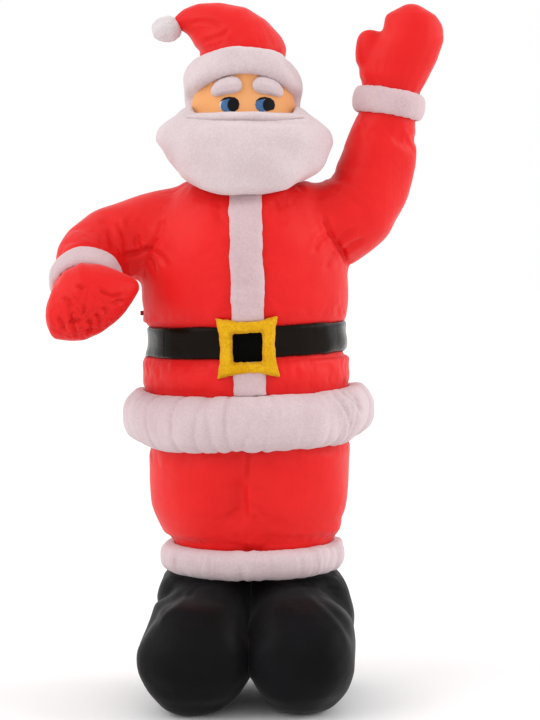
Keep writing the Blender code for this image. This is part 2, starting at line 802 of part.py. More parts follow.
def lowered_hand():
    """The lowered mitten's hand: it hangs out of the cuff and points in at the belly."""
    rows = smooth_rows([
        (-0.638, 1.375, -0.638, 1.300, 0.040),
        (-0.625, 1.425, -0.618, 1.258, 0.072),
        (-0.590, 1.475, -0.574, 1.249, 0.096),
        (-0.537, 1.503, -0.527, 1.250, 0.108),
        (-0.474, 1.497, -0.474, 1.271, 0.106),
        (-0.432, 1.484, -0.434, 1.305, 0.092),
        (-0.395, 1.467, -0.398, 1.339, 0.072),
        (-0.365, 1.453, -0.366, 1.376, 0.047),
        (-0.346, 1.438, -0.345, 1.408, 0.020),
    ], 1)
    return loft(fan_rings(rows, centre_y=LOWERED_HAND_Y))


def tab_plate():
    """A folded tab that stands out from the coat's side."""
    row = row_at(COAT_ROWS, BELT_Z + BELT_HEIGHT / 2 + TAB_RISE)
    edge = row[1] - row[2]
    middle = row[0] - rise(row[0]) * row[2]
    return box((edge - TAB_REACH, -TAB_THICKNESS / 2, middle - TAB_WIDTH / 2),
               (edge + 0.010, TAB_THICKNESS / 2, middle + TAB_WIDTH / 2))


def centre_figure(figure, pieces):
    """Moves the figure so that its box is centred on the origin in X and Y."""
    bpy.context.view_layer.update()
    depsgraph = bpy.context.evaluated_depsgraph_get()
    corners = []
    for piece in pieces:
        evaluated = piece.evaluated_get(depsgraph)
        mesh = evaluated.to_mesh()
        corners += [evaluated.matrix_world @ vert.co for vert in mesh.vertices]
        evaluated.to_mesh_clear()
    for axis in (0, 1):
        low = min(corner[axis] for corner in corners)
        high = max(corner[axis] for corner in corners)
        figure.location[axis] = -(low + high) / 2


def build():
    for old in list(bpy.data.objects):
        bpy.data.objects.remove(old, do_unlink=True)

    figure = bpy.data.objects.new("santa", None)
    bpy.context.collection.objects.link(figure)

    red = material("red_nylon", (0.80, 0.035, 0.035), 0.55, 0.2)
    white = material("white_plush", (0.80, 0.70, 0.71), 0.9, 0.5)
    black = material("black_nylon", (0.022, 0.022, 0.026), 0.45, 0.2)
    belt_black = material("belt_nylon", (0.012, 0.011, 0.010), 0.5)
    gold = material("gold_felt", (0.80, 0.45, 0.03), 0.75, 0.3)
    skin = material("skin_nylon", (0.85, 0.42, 0.17), 0.6)
    print_white = material("eye_print", (0.85, 0.85, 0.85), 0.5)
    webbing = material("red_webbing", (0.30, 0.01, 0.01), 0.8)

    def piece(name, bm, finish):
        return new_object(name, bm, finish, figure)

    def cutter(name, bm):
        return new_object("cut_" + name, bm, None, figure, cutter=True)

    # Hidden solids, each a piece's own form grown by the clearance
    cut_coat = cutter("coat", coat_skin(GAP))
    cut_hem = cutter("hem_roll", hem_roll(GAP))
    cut_belt = cutter("belt", belt_band(GAP))
    cut_placket = cutter("placket", placket_skin(GAP))
    cut_head = cutter("head", head_block(GAP))
    cut_hair = cutter("hair", hair_block(GAP))
    cut_band = cutter("hat_band", hat_band_roll(GAP))
    cut_hat = cutter("hat", hat_skin(GAP))
    cut_moustache = cutter("moustache", moustache_roll(GAP))
    cut_beard = cutter("beard", beard_puff(GAP))
    cut_raised = cutter("raised_sleeve", raised_sleeve(GAP))
    cut_lowered = cutter("lowered_sleeve", lowered_sleeve(GAP))
    floor = cutter("floor", box((-1, -1, -0.2), (1, 1, 0.0)))

    pieces = {}

    # Legs
    pieces["trousers"] = piece("trousers", trousers_skin(), red)
    pieces["trouser_trim"] = piece("trouser_trim", ankle_roll(), white)
    boots = (("right_boot", -1, -0.168, 0.193, -0.133), ("left_boot", 1, 0.196, 0.183, 0.190))
    for name, side, toe_x, toe_half_width, shaft_x in boots:
        boot = piece(name, toe_ball(toe_x, toe_half_width), black)
        join(boot, cutter(name + "_shaft", boot_shaft(shaft_x, side)))
        near = BOOT_PARTING_X + side * GAP / 2
        far = BOOT_PARTING_X - side * 0.5
        parting = box((min(near, far), -1, -0.3), (max(near, far), 1, 0.6))
        carve(boot, cutter(name + "_parting", parting), floor)
        pieces[name] = boot

    # Coat
    pieces["coat"] = piece("coat", coat_skin(), red)
    pieces["coat_hem_trim"] = piece("coat_hem_trim", hem_roll(), white)
    pieces["front_placket"] = piece("front_placket", placket_skin(), white)
    carve(pieces["front_placket"], cut_coat, cut_hem)
    pieces["belt"] = piece("belt", belt_band(), belt_black)
    carve(pieces["belt"], cut_placket)
    pieces["belt_buckle"] = piece("belt_buckle", buckle_frame(), gold)
    carve(pieces["belt_buckle"], cut_coat, cut_belt, cut_placket)
    pieces["tether_tab"] = piece("tether_tab", tab_plate(), webbing)
    carve(pieces["tether_tab"], cut_coat)

    # Arms
    pieces["left_sleeve"] = piece("left_sleeve", raised_sleeve(), red)
    carve(pieces["left_sleeve"], cut_coat)
    pieces["left_cuff"] = piece("left_cuff", cuff_roll(RAISED_CUFF, raised_axis, raised_side), white)
    pieces["left_mitten"] = piece("left_mitten", raised_palm(), red)
    join(pieces["left_mitten"], cutter("thumb", raised_thumb()))
    pieces["right_sleeve"] = piece("right_sleeve", lowered_sleeve(), red)
    carve(pieces["right_sleeve"], cut_coat)
    wrist_side = lowered_wrist_side()
    right_cuff = cuff_roll(LOWERED_CUFF, lowered_axis, wrist_side)
    pieces["right_cuff"] = piece("right_cuff", right_cuff, white)
    pieces["right_mitten"] = piece("right_mitten", lowered_hand(), red)
    join(pieces["right_mitten"], cutter("wrist", lowered_wrist(wrist_side)))
    cut_cuff = cutter("right_cuff", cuff_roll(LOWERED_CUFF, lowered_axis, wrist_side, GAP))
    carve(pieces["right_mitten"], cut_coat, cut_cuff)

    # Head
    pieces["head"] = piece("head", head_block(), skin)
    pieces["hair"] = piece("hair", hair_block(), white)
    carve(pieces["hair"], cut_head, cut_coat)
    pieces["beard"] = piece("beard", beard_puff(), white)
    carve(pieces["beard"], cut_head, cut_hair, cut_coat, cut_placket, cut_moustache, cut_raised,
          cut_lowered)
    pieces["moustache"] = piece("moustache", moustache_roll(), white)
    carve(pieces["moustache"], cut_head, cut_hair)
    for name, side in (("right", -1), ("left", 1)):
        brow = piece(name + "_eyebrow", brow_puff(side), white)
        carve(brow, cut_head, cut_band)
        pieces[name + "_eyebrow"] = brow
        eye = piece(name + "_eye", eye_patch(side), print_white)
        cut_brow = cutter(name + "_brow", brow_puff(side, GAP))
        carve(eye, cut_head, cut_moustache, cut_beard, cut_brow)
        pieces[name + "_eye"] = eye
    pieces["hat_band"] = piece("hat_band", hat_band_roll(), white)
    pieces["hat"] = piece("hat", hat_skin(), red)
    pieces["pompom"] = piece("pompom", pompom_ball(), white)
    carve(pieces["pompom"], cut_hat)

    centre_figure(figure, pieces.values())


build()
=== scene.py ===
"""Looks of an inflatable Santa: every sewn panel as fine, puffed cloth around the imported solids.

Lengths are in metres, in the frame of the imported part. Names that end in _PX are places in the
photograph's frame of 540 by 720 pixels, seen through the camera that this script sets up.
"""

import math

import bmesh
import bpy
import numpy as np
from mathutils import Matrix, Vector
from mathutils.bvhtree import BVHTree
from mathutils.kdtree import KDTree


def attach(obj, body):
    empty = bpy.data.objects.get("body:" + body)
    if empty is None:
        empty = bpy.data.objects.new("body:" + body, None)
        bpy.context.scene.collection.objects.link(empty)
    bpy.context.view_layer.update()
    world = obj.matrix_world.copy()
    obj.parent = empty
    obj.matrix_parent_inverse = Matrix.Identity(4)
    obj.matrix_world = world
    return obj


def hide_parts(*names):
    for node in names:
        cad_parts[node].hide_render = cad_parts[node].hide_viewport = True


# The camera of the photograph
CAMERA_PLACE = (0.072, -6.440, 1.55)
CAMERA_TILT = math.radians(3.42)
IMAGE_WIDTH_PX = 540
IMAGE_HEIGHT_PX = 720
FOCAL_PX = 1874
SENSOR = 36.0

# Mesh cells
WIDE_CELL = 0.0076
BLOWN_CELL = 0.0126
TRIM_CELL = 0.0054
FACE_CELL = 0.004
SMALL_CELL = 0.0033

# Points of a CAD node that are closer than this are one point
WELD = 1e-5

# Smoothing of the solids' flat facets: how wide on large pieces and on the trims,
# and how near a seam smoothing and folds are held back
FACET_BLUR = 0.030
TRIM_BLUR = 0.014
SEAM_HOLD = 0.014

# The way to a seam on a skin that has none
NO_SEAM = 1.0

# How far away a solid is looked for, where a skin passes from one solid to the next
JOINT_LIMIT = 0.5

# Waves in one random field
WAVES = 18

# Upright seams: the distance between their puckers, and how far those reach
SEAM_PUCKER_LENGTH = 0.045
SEAM_PUCKER_REACH = 0.030

# The hollow in the trousers: the width of its wall and of the ridge past it in pixels,
# and the ridge's height as a share of the hollow's depth
DENT_WALL_PX = 5
DENT_RIDGE_PX = 3
DENT_RIDGE_SHARE = 0.2

# A belt's facets: how many parts of the turn are measured, and how many are averaged on each side
TURN_PARTS = 360
TURN_REACH = 30

# The coat's sides at the belt's edges: where the coat is fuller sideways, and for each edge
# its height, the way up or down from the belt, and how far and by how much the coat is fuller
BELT_TOP = 1.302
BELT_FOOT = 1.172
COAT_MIDDLE = -0.012
FLANK_START = 0.15
FLANK_FADE = 0.20
FLANK_END = 0.40
EDGE_OVERLAP = 0.004
WAIST_EDGES = ((BELT_TOP, 1, 0.040, 0.009), (BELT_FOOT, -1, 0.060, 0.013))

# Boots: the plane where they press together, and what is filled between shaft and toe
PARTING = 0.005
INSTEP_FOOT = 0.17
INSTEP_BACK = 0.06
INSTEP_SHARE = 0.84

# Where the toes press together, and how far each inner side swells there
PRESS_HEIGHT = 0.19
PRESS_HEIGHT_FADE = 0.075
PRESS_SIDE_FADE = 0.08
PRESS_BACK = -0.05
PRESS_REACH = 0.034
PRESS_OVERLAP = 0.0015

# The middle of the head, from side to side
HEAD_MIDDLE = -0.016

# Hair: the hollow at the temples that is filled, and how far back grooves are eased
TEMPLE_HEIGHT = 2.060
TEMPLE_HEIGHT_FADE = 0.030
TEMPLE_START = 0.175
TEMPLE_FADE = 0.02
TEMPLE_PUSH = 0.014
HAIR_BACK = 0.16
HAIR_BACK_FADE = 0.06

# The top of the hat's band comes down, and more at the sides than in the middle
BAND_FOOT = 2.13
BAND_FADE = 0.06
BAND_DROP = 0.004
BAND_SIDE_DROP = 0.012
BAND_HALF_WIDTH = 0.15

# The open face: its width, its lower edge, and the height up to which the beard is taken down
FACE_HALF_WIDTH = 0.176
FACE_SIDE_FADE = 0.012
FACE_BACK = 0.02
FACE_FOOT = 2.003
BROW_FOOT = 2.048
LEVEL_SHARE = 0.92

# The sides of the face block, which come out to the hair
CHEEK_START = 0.14
CHEEK_FADE = 0.03
CHEEK_FOOT = 1.97
CHEEK_PUSH = 0.005

# The moustache: its top, the share of its height that is kept, and its raised tips
LIP_TOP = 2.003
LIP_SHARE = 0.85
LIP_TIP_START = 0.10
LIP_TIP_FADE = 0.10
LIP_LIFT = 0.011

# Above its foot the hat is scaled to this top, and the ball on its tip is moved and flattened
HAT_FOOT = 2.20
HAT_TOP = 2.389
POMPOM_DROP = (0.006, 0, -0.004)
POMPOM_SHAPE = (0.98, 0.98, 0.92)

# Printed eyes: radii of the iris, the pupil and the opening, and how far the opening is lowered
# to show the lid
EYE_IRIS = (0.021, 0.024)
EYE_PUPIL = (0.021, 0.025)
EYE_OPENING = (0.042, 0.026)
EYE_LID_DROP = -0.008

# The middle of each eye, and how far its iris and its pupil are from there
EYES = {
    "right_eye": ((-0.064, 2.030), (-0.009, -0.004), (0.014, -0.001)),
    "left_eye": ((0.056, 2.030), (-0.014, -0.003), (0.013, -0.001)),
}

# Black felt behind the buckle's opening
PATCH_SIZE = (0.122, 0.003, 0.136)
PATCH_PLACE = (-0.003, -0.2455, 1.214)

# Cloth simulation: air pressure, steps, how much larger than its seams the cloth is cut, the width
# that tells a pucker from the swelling, the share of the swelling that is kept, and how far a
# point may move
PRESSURE = 4.0
STEPS = 12
SLACK = 0.03
PUCKER_WIDTH = 0.045
SWELL_SHARE = 0.15
MOVE_LIMIT = 0.006

# Studio: half the floor's width, and how far away the lamps stand
FLOOR_REACH = 60.0
LAMP_DISTANCE = 4

# Creases, folds and seams that the photograph shows
TROUSER_CREASE_PX = ((248, 438), (248, 458), (247, 470), (247, 484))
TROUSER_SEAM_PX = ((246, 500), (247, 520), (247, 540), (247, 556))
TROUSER_DIMPLE_PX = ((243, 492), (242, 512))
DIMPLE_EDGE_PX = 246.5
TROUSER_RIDGE_PX = ((250, 486), (251, 497), (254, 508), (258, 518))
TROUSER_PUCKERS_PX = (
    ((244, 508), (233, 514), (224, 524)),
    ((249, 497), (257, 491), (266, 490)),
    ((249, 505), (259, 511), (266, 521)),
)
ELBOW_CREASE_PX = ((120, 257), (128, 255.4), (139, 253), (149.4, 248.7), (155, 243))
ARM_FOLDS_PX = (
    ((125.5, 239), (122, 231), (116, 222)),
    ((163.5, 219), (161, 229), (158.3, 237), (152.7, 247)),
    ((140, 251), (137, 243), (138, 234)),
    ((150, 250), (160, 256), (168, 266)),
    ((147, 253), (153, 263), (156, 276)),
)
ARMPIT_CREASE_PX = ((322, 214), (325, 222), (332.5, 238), (342, 251), (346.6, 261))
RAISED_ARM_FOLDS_PX = (
    ((341, 251), (352, 243), (362, 238)),
    ((336, 243), (345, 234), (356, 228)),
    ((330, 232), (320, 240), (313, 252)),
    ((338, 248), (330, 258), (325, 270)),
)
LOWERED_MITTEN_PX = (
    ((70, 309), (73, 318), (75.7, 328.5), (78.5, 337.4)),
    ((83.5, 303), (84, 309), (84.6, 314)),
    ((102.5, 306), (104, 310), (105.8, 314)),
    ((98, 288), (104, 293), (111, 296), (124.8, 293.9)),
    ((76.8, 285), (81, 287), (84.6, 289.4)),
    ((61, 316), (65, 323), (66, 330)),
    ((88, 317), (91, 324), (89, 333)),
    ((95, 311), (99, 319), (99, 328)),
    ((64, 298), (70, 301), (74, 307)),
    ((110, 305), (117, 301), (124, 301)),
    ((84, 331), (90, 328), (97, 329)),
    ((70, 321), (76, 319), (83, 320)),
)
MITTEN_CRUMPLE_PX = (84, 318)
HAT_ARCS_PX = (
    ((189, 23), (198, 20.4), (207, 19.9), (215, 21), (225, 25.5)),
    ((202, 41.5), (213, 37.8), (223.5, 33.7), (231, 27.5)),
)
BOOT_SEAMS_PX = {
    "right": ((187, 590), (185.7, 592), (174, 602.5), (159, 614), (150, 622)),
    "left": ((308, 590), (325, 605.5), (338, 621.6), (348.6, 637.7), (354, 648)),
}
BOOT_WRINKLES_PX = {
    "right": (((176, 588), (169, 596)), ((193, 590), (189, 598))),
    "left": (((313, 586), (326, 588), (338, 591.5)), ((318, 589), (326, 592), (335, 597))),
}
HEM_CREASES_PX = (
    ((338, 389), (349, 399), (358, 410), (362, 422)),
    ((345, 391), (354, 400), (361, 409)),
    ((330, 392), (341, 404), (348, 418), (350, 432)),
)

# How far the outline is moved near some places: place, shift and radius in pixels
ALL_NUDGES_PX = (
    ((196, 46), (-3.0, 1.0), 14),
    ((205, 8), (-0.8, -0.6), 25),
    ((278, 38), (1.2, -0.8), 16),
    ((299, 70), (-5.0, 1.5), 15),
    ((303, 97), (-1.5, 0.0), 12),
    ((186, 85), (-1.2, 0.0), 18),
    ((183, 106), (-1.2, -0.8), 10),
    ((328, 128), (-3.0, 0.0), 16),
    ((160, 125), (-1.0, -0.5), 12),
    ((168, 162), (1.5, -1.0), 15),
    ((345, 145), (3.5, 0.0), 22),
    ((385, 240), (2.5, 3.0), 28),
    ((350, 262), (0.0, 3.0), 12),
    ((416, 135), (1.2, 0.0), 16),
    ((358, 65), (-3.0, 0.0), 16),
    ((389, 14), (-4.0, -1.0), 9),
    ((443, 40), (1.0, 0.0), 14),
    ((140, 192), (0.0, -2.5), 35),
    ((47, 315), (-3.5, 0.0), 22),
    ((75, 340), (0.0, 2.0), 25),
    ((118, 318), (2.0, 1.5), 20),
    ((148, 323), (-2.5, 1.0), 7),
    ((346, 318), (2.0, 0.0), 8),
    ((345, 342), (3.0, 0.0), 12),
    ((145, 374), (-1.2, 0.0), 13),
    ((147, 387), (-1.5, 0.0), 8),
    ((350, 365), (-1.8, 0.0), 9),
    ((133, 415), (0.0, -5.0), 24),
    ((365, 415), (0.0, -5.0), 24),
    ((152, 500), (-2.5, 0.0), 32),
    ((346, 490), (2.5, 0.0), 32),
    ((165, 556), (-2.8, 0.0), 16),
    ((336, 536), (3.0, 0.0), 8),
    ((161, 590), (-4.5, 0.0), 15),
    ((143, 630), (5.0, 0.0), 17),
    ((353, 612), (6.5, 0.0), 25),
    ((140, 442), (1.5, -4.0), 16),
    ((360, 436), (-1.0, -4.0), 16),
    ((140, 388), (-1.5, -3.0), 10),
    ((360, 385), (1.0, -3.0), 10),
    ((293, 62), (-2.5, 2.0), 9),
    ((345, 585), (3.5, 0.0), 14),
    ((164, 570), (-2.0, 0.0), 8),
    ((156, 598), (-1.5, 0.0), 8),
    ((149, 618), (2.5, 0.0), 10),
    ((146, 359), (-3.0, 0.0), 8),
    ((54, 334), (-1.5, 1.5), 12),
    ((350, 266), (0.0, 2.0), 8),
    ((334, 140), (-2.5, 0.0), 8),
    ((383, 31), (1.5, 2.5), 7),
)
COAT_NUDGES_PX = (
    ((312, 188), (0.0, -7.0), 13),
    ((183, 186), (0.0, -3.0), 11),
)
BEARD_NUDGES_PX = (
    ((322, 165), (3.0, 1.0), 14),
    ((317, 173), (2.5, 2.0), 10),
)


def unit(vector):
    """The vector at length one."""
    vector = np.asarray(vector, dtype=float)
    return vector / np.linalg.norm(vector)


def seen(points):
    """Where the camera sees each point, in pixels of the photograph."""
    forward = np.array((0, math.cos(CAMERA_TILT), -math.sin(CAMERA_TILT)))
    up = np.array((0, math.sin(CAMERA_TILT), math.cos(CAMERA_TILT)))
    offset = points - np.array(CAMERA_PLACE)
    depth = offset @ forward
    across = IMAGE_WIDTH_PX / 2 + FOCAL_PX * offset[:, 0] / depth
    down = IMAGE_HEIGHT_PX / 2 - FOCAL_PX * (offset @ up) / depth
    return np.stack((across, down), axis=1)


def ripple(points, length, seed, stretch=(1, 1, 1)):
    """A smooth random field of about -1 to 1, with bumps about one length apart."""
    rng = np.random.default_rng(seed)
    total = np.zeros(len(points))
    for _ in range(WAVES):
        direction = unit(rng.normal(size=3)) * np.array(stretch)
        pace = 2 * math.pi / length * rng.uniform(0.6, 1.4)
        total += np.sin(points @ direction * pace + rng.uniform(0, 2 * math.pi))
    return total / math.sqrt(WAVES / 2)


def tucks(field, tightness=0.4):
    """Zero to one: thin lines where a random field changes sign."""
    return np.exp(-((field / tightness) ** 2))


def along(points, path):
    """Distance to a path of straight stretches, and the share of the path passed there."""
    path = np.asarray(path, dtype=float)
    nearest = np.full(len(points), np.inf)
    share = np.zeros(len(points))
    lengths = np.linalg.norm(np.diff(path, axis=0), axis=1)
    passed = np.concatenate(([0], np.cumsum(lengths)))
    for start, end, before, length in zip(path[:-1], path[1:], passed[:-1], lengths):
        step = (end - start) / length
        t = np.clip((points - start) @ step, 0, length)
        away = np.linalg.norm(points - start - t[:, None] * step, axis=1)
        closer = away < nearest
        nearest[closer] = away[closer]
        share[closer] = ((before + t) / passed[-1])[closer]
    return nearest, share


def largest_island(shape):
    """Deletes every closed skin but the largest, such as one around a thin gap inside."""
    left = set(shape.verts)
    islands = []
    while left:
        front = [left.pop()]
        island = list(front)
        while front:
            corner = front.pop()
            for edge in corner.link_edges:
                other = edge.other_vert(corner)
                if other in left:
                    left.remove(other)
                    island.append(other)
                    front.append(other)
        islands.append(island)
    islands.sort(key=len)
    for island in islands[:-1]:
        bmesh.ops.delete(shape, geom=island, context="VERTS")


def fine_mesh(nodes, cell, filling=()):
    """One skin around CAD nodes and the hull of some more points, with small even cells."""
    shape = bmesh.new()
    for node in nodes:
        shape.from_mesh(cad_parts[node].data)
    bmesh.ops.remove_doubles(shape, verts=shape.verts, dist=WELD)
    if len(filling):
        corners = [shape.verts.new(place) for place in filling]
        inner = bmesh.ops.convex_hull(shape, input=corners)["geom_interior"]
        spare = [part for part in inner if isinstance(part, bmesh.types.BMVert)]
        bmesh.ops.delete(shape, geom=spare, context="VERTS")
    mesh = bpy.data.meshes.new("work")
    shape.to_mesh(mesh)
    shape.free()
    work = bpy.data.objects.new("work", mesh)
    bpy.context.scene.collection.objects.link(work)
    remesh = work.modifiers.new("cells", "REMESH")
    remesh.mode = "VOXEL"
    remesh.voxel_size = cell
    graph = bpy.context.evaluated_depsgraph_get()
    result = bpy.data.meshes.new_from_object(work.evaluated_get(graph))
    bpy.data.objects.remove(work)
    shape = bmesh.new()
    shape.from_mesh(result)
    largest_island(shape)
    shape.to_mesh(result)
    shape.free()
    return result


def solid_tree(node):
    """Search tree of a CAD node's surface."""
    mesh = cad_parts[node].data
    corners = [v.co.copy() for v in mesh.vertices]
    return BVHTree.FromPolygons(corners, [list(p.vertices) for p in mesh.polygons])


def distance_to(tree, points, limit):
    """How far each point is from a surface, up to a limit."""
    result = np.full(len(points), limit)
    for index, point in enumerate(points):
        distance = tree.find_nearest(Vector(point), limit)[3]
        if distance is not None:
            result[index] = distance
    return result


class Cloth:
    """A fine closed skin over CAD solids. Its points are shaped here, and then it is shown."""

    def __init__(self, nodes, cell, seats=(), facet_blur=FACET_BLUR, filling=()):
        self.nodes = (nodes,) if isinstance(nodes, str) else nodes
        self.cell = cell
        self.mesh = fine_mesh(self.nodes, cell, filling)
        self.take_points()
        self.reach, self.foot = self.find_seams(seats)
        self.smooth(facet_blur)

    def take_points(self):
        """Reads the places and the edges from the mesh."""
        flat = np.empty(len(self.mesh.vertices) * 3)
        self.mesh.vertices.foreach_get("co", flat)
        self.points = flat.reshape(-1, 3)
        ends = np.empty(len(self.mesh.edges) * 2, dtype=int)
        self.mesh.edges.foreach_get("vertices", ends)
        self.edges = ends.reshape(-1, 2)

    def spread(self, values, rounds, share=1.0):
        """Values at the points, averaged with their neighbours' again and again."""
        count = len(self.points)
        first, second = self.edges.T
        degree = np.bincount(self.edges.ravel(), minlength=count)
        flat = values.ndim == 1
        columns = values[:, None] if flat else values
        weight = share if np.isscalar(share) else share[:, None]
        for _ in range(rounds):
            total = np.stack(
                [
                    np.bincount(first, column[second], count)
                    + np.bincount(second, column[first], count)
                    for column in columns.T
                ],
                axis=1,
            )
            columns = columns + (total / degree[:, None] - columns) * weight
        return columns[:, 0] if flat else columns

    def line_reach(self, line):
        """Distance from each point to the nearest of some points, and where that one is."""
        reach = np.full(len(self.points), NO_SEAM)
        foot = self.points.copy()
        if not len(line):
            return reach, foot
        tree = KDTree(len(line))
        for index in line:
            tree.insert(Vector(self.points[index]), int(index))
        tree.balance()
        for index, point in enumerate(self.points):
            place, _, distance = tree.find(Vector(point))
            reach[index] = distance
            foot[index] = place
        return reach, self.spread(foot, 6)

    def find_seams(self, seats):
        """Each point's way to the line where the cloth comes against a neighbour."""
        touch = np.zeros(len(self.points), dtype=bool)
        close = self.cell * 1.1
        for tree in map(solid_tree, seats):
            touch |= distance_to(tree, self.points, close) < close
        first, second = self.edges.T
        crossing = touch[first] != touch[second]
        line = np.unique(self.edges[crossing].ravel())
        reach, foot = self.line_reach(line[touch[line]])
        reach[touch] = 0
        return reach, foot

    def joints(self):
        """Each point's way to the line where this skin passes from one solid to the next."""
        distances = np.stack(
            [distance_to(solid_tree(node), self.points, JOINT_LIMIT) for node in self.nodes]
        )
        nearest = distances.argmin(axis=0)
        first, second = self.edges.T
        crossing = nearest[first] != nearest[second]
        return self.line_reach(np.unique(self.edges[crossing].ravel()))

    def smooth(self, blur):
        """Takes the facets off, less so near a neighbour, and gives back what shrank."""
        rounds = int(2 * (blur / self.cell) ** 2)
        if not rounds:
            return
        free = np.clip(self.reach / SEAM_HOLD, 0.2, 1)
        before = self.points
        self.points = self.spread(self.points, rounds, free)
        lost = np.einsum("ij,ij->i", before - self.points, self.normals())
        self.push(self.spread(lost, rounds) * free)

    def normals(self):
        """Outward unit vectors at the points."""
        self.write()
        flat = np.empty(len(self.points) * 3)
        self.mesh.vertex_normals.foreach_get("vector", flat)
        return flat.reshape(-1, 3)

    def write(self):
        """Puts the points into the mesh."""
        self.mesh.vertices.foreach_set("co", self.points.ravel())
        self.mesh.update()

    def push(self, amount):
        """Moves each point along its outward vector."""
        self.points = self.points + self.normals() * np.asarray(amount)[..., None]

    def inflate(self):
        """Blows the cloth up while its seams hold it, and keeps the puckers that it gets there.
        """
        self.write()
        work = bpy.data.objects.new("work", self.mesh.copy())
        bpy.context.scene.collection.objects.link(work)
        held = work.vertex_groups.new(name="held")
        held.add([int(index) for index in np.flatnonzero(self.reach < self.cell)], 1, "REPLACE")
        cloth = work.modifiers.new("cloth", "CLOTH")
        settings = cloth.settings
        settings.quality = 4
        settings.mass = 0.15
        settings.tension_stiffness = 15
        settings.compression_stiffness = 15
        settings.shear_stiffness = 5
        settings.bending_stiffness = 0.05
        settings.use_pressure = True
        settings.uniform_pressure_force = PRESSURE
        settings.vertex_group_mass = "held"
        settings.shrink_min = -SLACK
        settings.effector_weights.gravity = 0
        cloth.collision_settings.use_collision = False
        cloth.collision_settings.use_self_collision = False
        cloth.point_cache.frame_start = 1
        cloth.point_cache.frame_end = STEPS
        scene = bpy.context.scene
        for number in range(1, STEPS + 1):
            scene.frame_set(number)
        graph = bpy.context.evaluated_depsgraph_get()
        flat = np.empty(len(self.points) * 3)
        work.evaluated_get(graph).data.vertices.foreach_get("co", flat)
        scene.frame_set(1)
        bpy.data.objects.remove(work)
        move = flat.reshape(-1, 3) - self.points
        swell = self.spread(move, int(2 * (PUCKER_WIDTH / self.cell) ** 2))
        move -= (1 - SWELL_SHARE) * swell
        length = np.maximum(np.linalg.norm(move, axis=1), 1e-9)
        self.points = self.points + move * np.minimum(1, MOVE_LIMIT / length)[:, None]

    def finer(self):
        """Splits every cell in four, and keeps each point's way to the seams."""
        self.write()
        for name, kind, field, values in (
            ("reach", "FLOAT", "value", self.reach),
            ("foot", "FLOAT_VECTOR", "vector", self.foot),
        ):
            layer = self.mesh.attributes.new(name, kind, "POINT")
            layer.data.foreach_set(field, np.ascontiguousarray(values, dtype=np.float32).ravel())
        work = bpy.data.objects.new("work", self.mesh)
        bpy.context.scene.collection.objects.link(work)
        smooth = work.modifiers.new("finer", "SUBSURF")
        smooth.levels = 1
        graph = bpy.context.evaluated_depsgraph_get()
        self.mesh = bpy.data.meshes.new_from_object(work.evaluated_get(graph))
        bpy.data.objects.remove(work)
        self.cell /= 2
        self.take_points()
        count = len(self.points)
        self.reach = np.empty(count, dtype=np.float32)
        self.mesh.attributes["reach"].data.foreach_get("value", self.reach)
        foot = np.empty(count * 3, dtype=np.float32)
        self.mesh.attributes["foot"].data.foreach_get("vector", foot)
        self.foot = foot.reshape(-1, 3)
        for name in ("reach", "foot"):
            self.mesh.attributes.remove(self.mesh.attributes[name])

    def gather(self, pull, pleat, width, length, seed, line=None):
        """Pulls the cloth in at its seams, with tucks of uneven reach that run away from them."""
        reach, foot = line or (self.reach, self.foot)
        uneven = 1 + 0.6 * ripple(foot, length * 2.3, seed + 1)
        fall = np.exp(-((reach / (width * np.clip(uneven, 0.35, 2.0))) ** 1.4))
        sunk = np.exp(-((reach / (0.35 * width)) ** 2))
        lines = tucks(ripple(foot, length, seed)) - 0.4
        free = np.clip(self.reach / self.cell / 2, 0, 1)
        self.push(self.spread(-(pleat * lines * fall + pull * sunk) * free, 1))

    def ring_places(self, axis=(0, 0, 1), length_share=0.12):
        """The points brought to one ring round an axis, so that a field there runs along the axis."""
        axis = unit(axis)
        offset = self.points - (self.points.min(axis=0) + self.points.max(axis=0)) / 2
        height = (offset @ axis)[:, None] * axis
        outward = offset - height
        away = np.linalg.norm(outward, axis=1)[:, None]
        return outward / np.maximum(away, 1e-6) * np.median(away) + height * length_share

    def fold(self, places, depth, length, seed):
        """Long soft folds with narrow valleys between them."""
        lines = tucks(ripple(places, length, seed), 0.35) - 0.3
        uneven = np.clip(1 + 0.7 * ripple(places, length * 3, seed + 1), 0.2, 2)
        free = np.clip(self.reach / SEAM_HOLD, 0.25, 1)
        self.push(self.spread(-depth * lines * uneven * free, 1))

    def billow(self, depth, length, seed, stretch=(1, 1, 1)):
        """Wide shallow swells, as air pushes uneven panels out."""
        free = np.clip(self.reach / (3 * SEAM_HOLD), 0, 1)
        self.push(depth * ripple(self.points, length, seed, stretch) * free)

    def ease_joints(self, width, rounds, back):
        """Fills the grooves where this skin passes from one solid to the next, up to its back."""
        reach = self.joints()[0]
        free = np.clip(self.reach / SEAM_HOLD, 0, 1)
        free *= np.clip((back - self.points[:, 1]) / HAIR_BACK_FADE, 0, 1)
        self.points = self.spread(self.points, rounds, free * np.exp(-((reach / width) ** 2)))

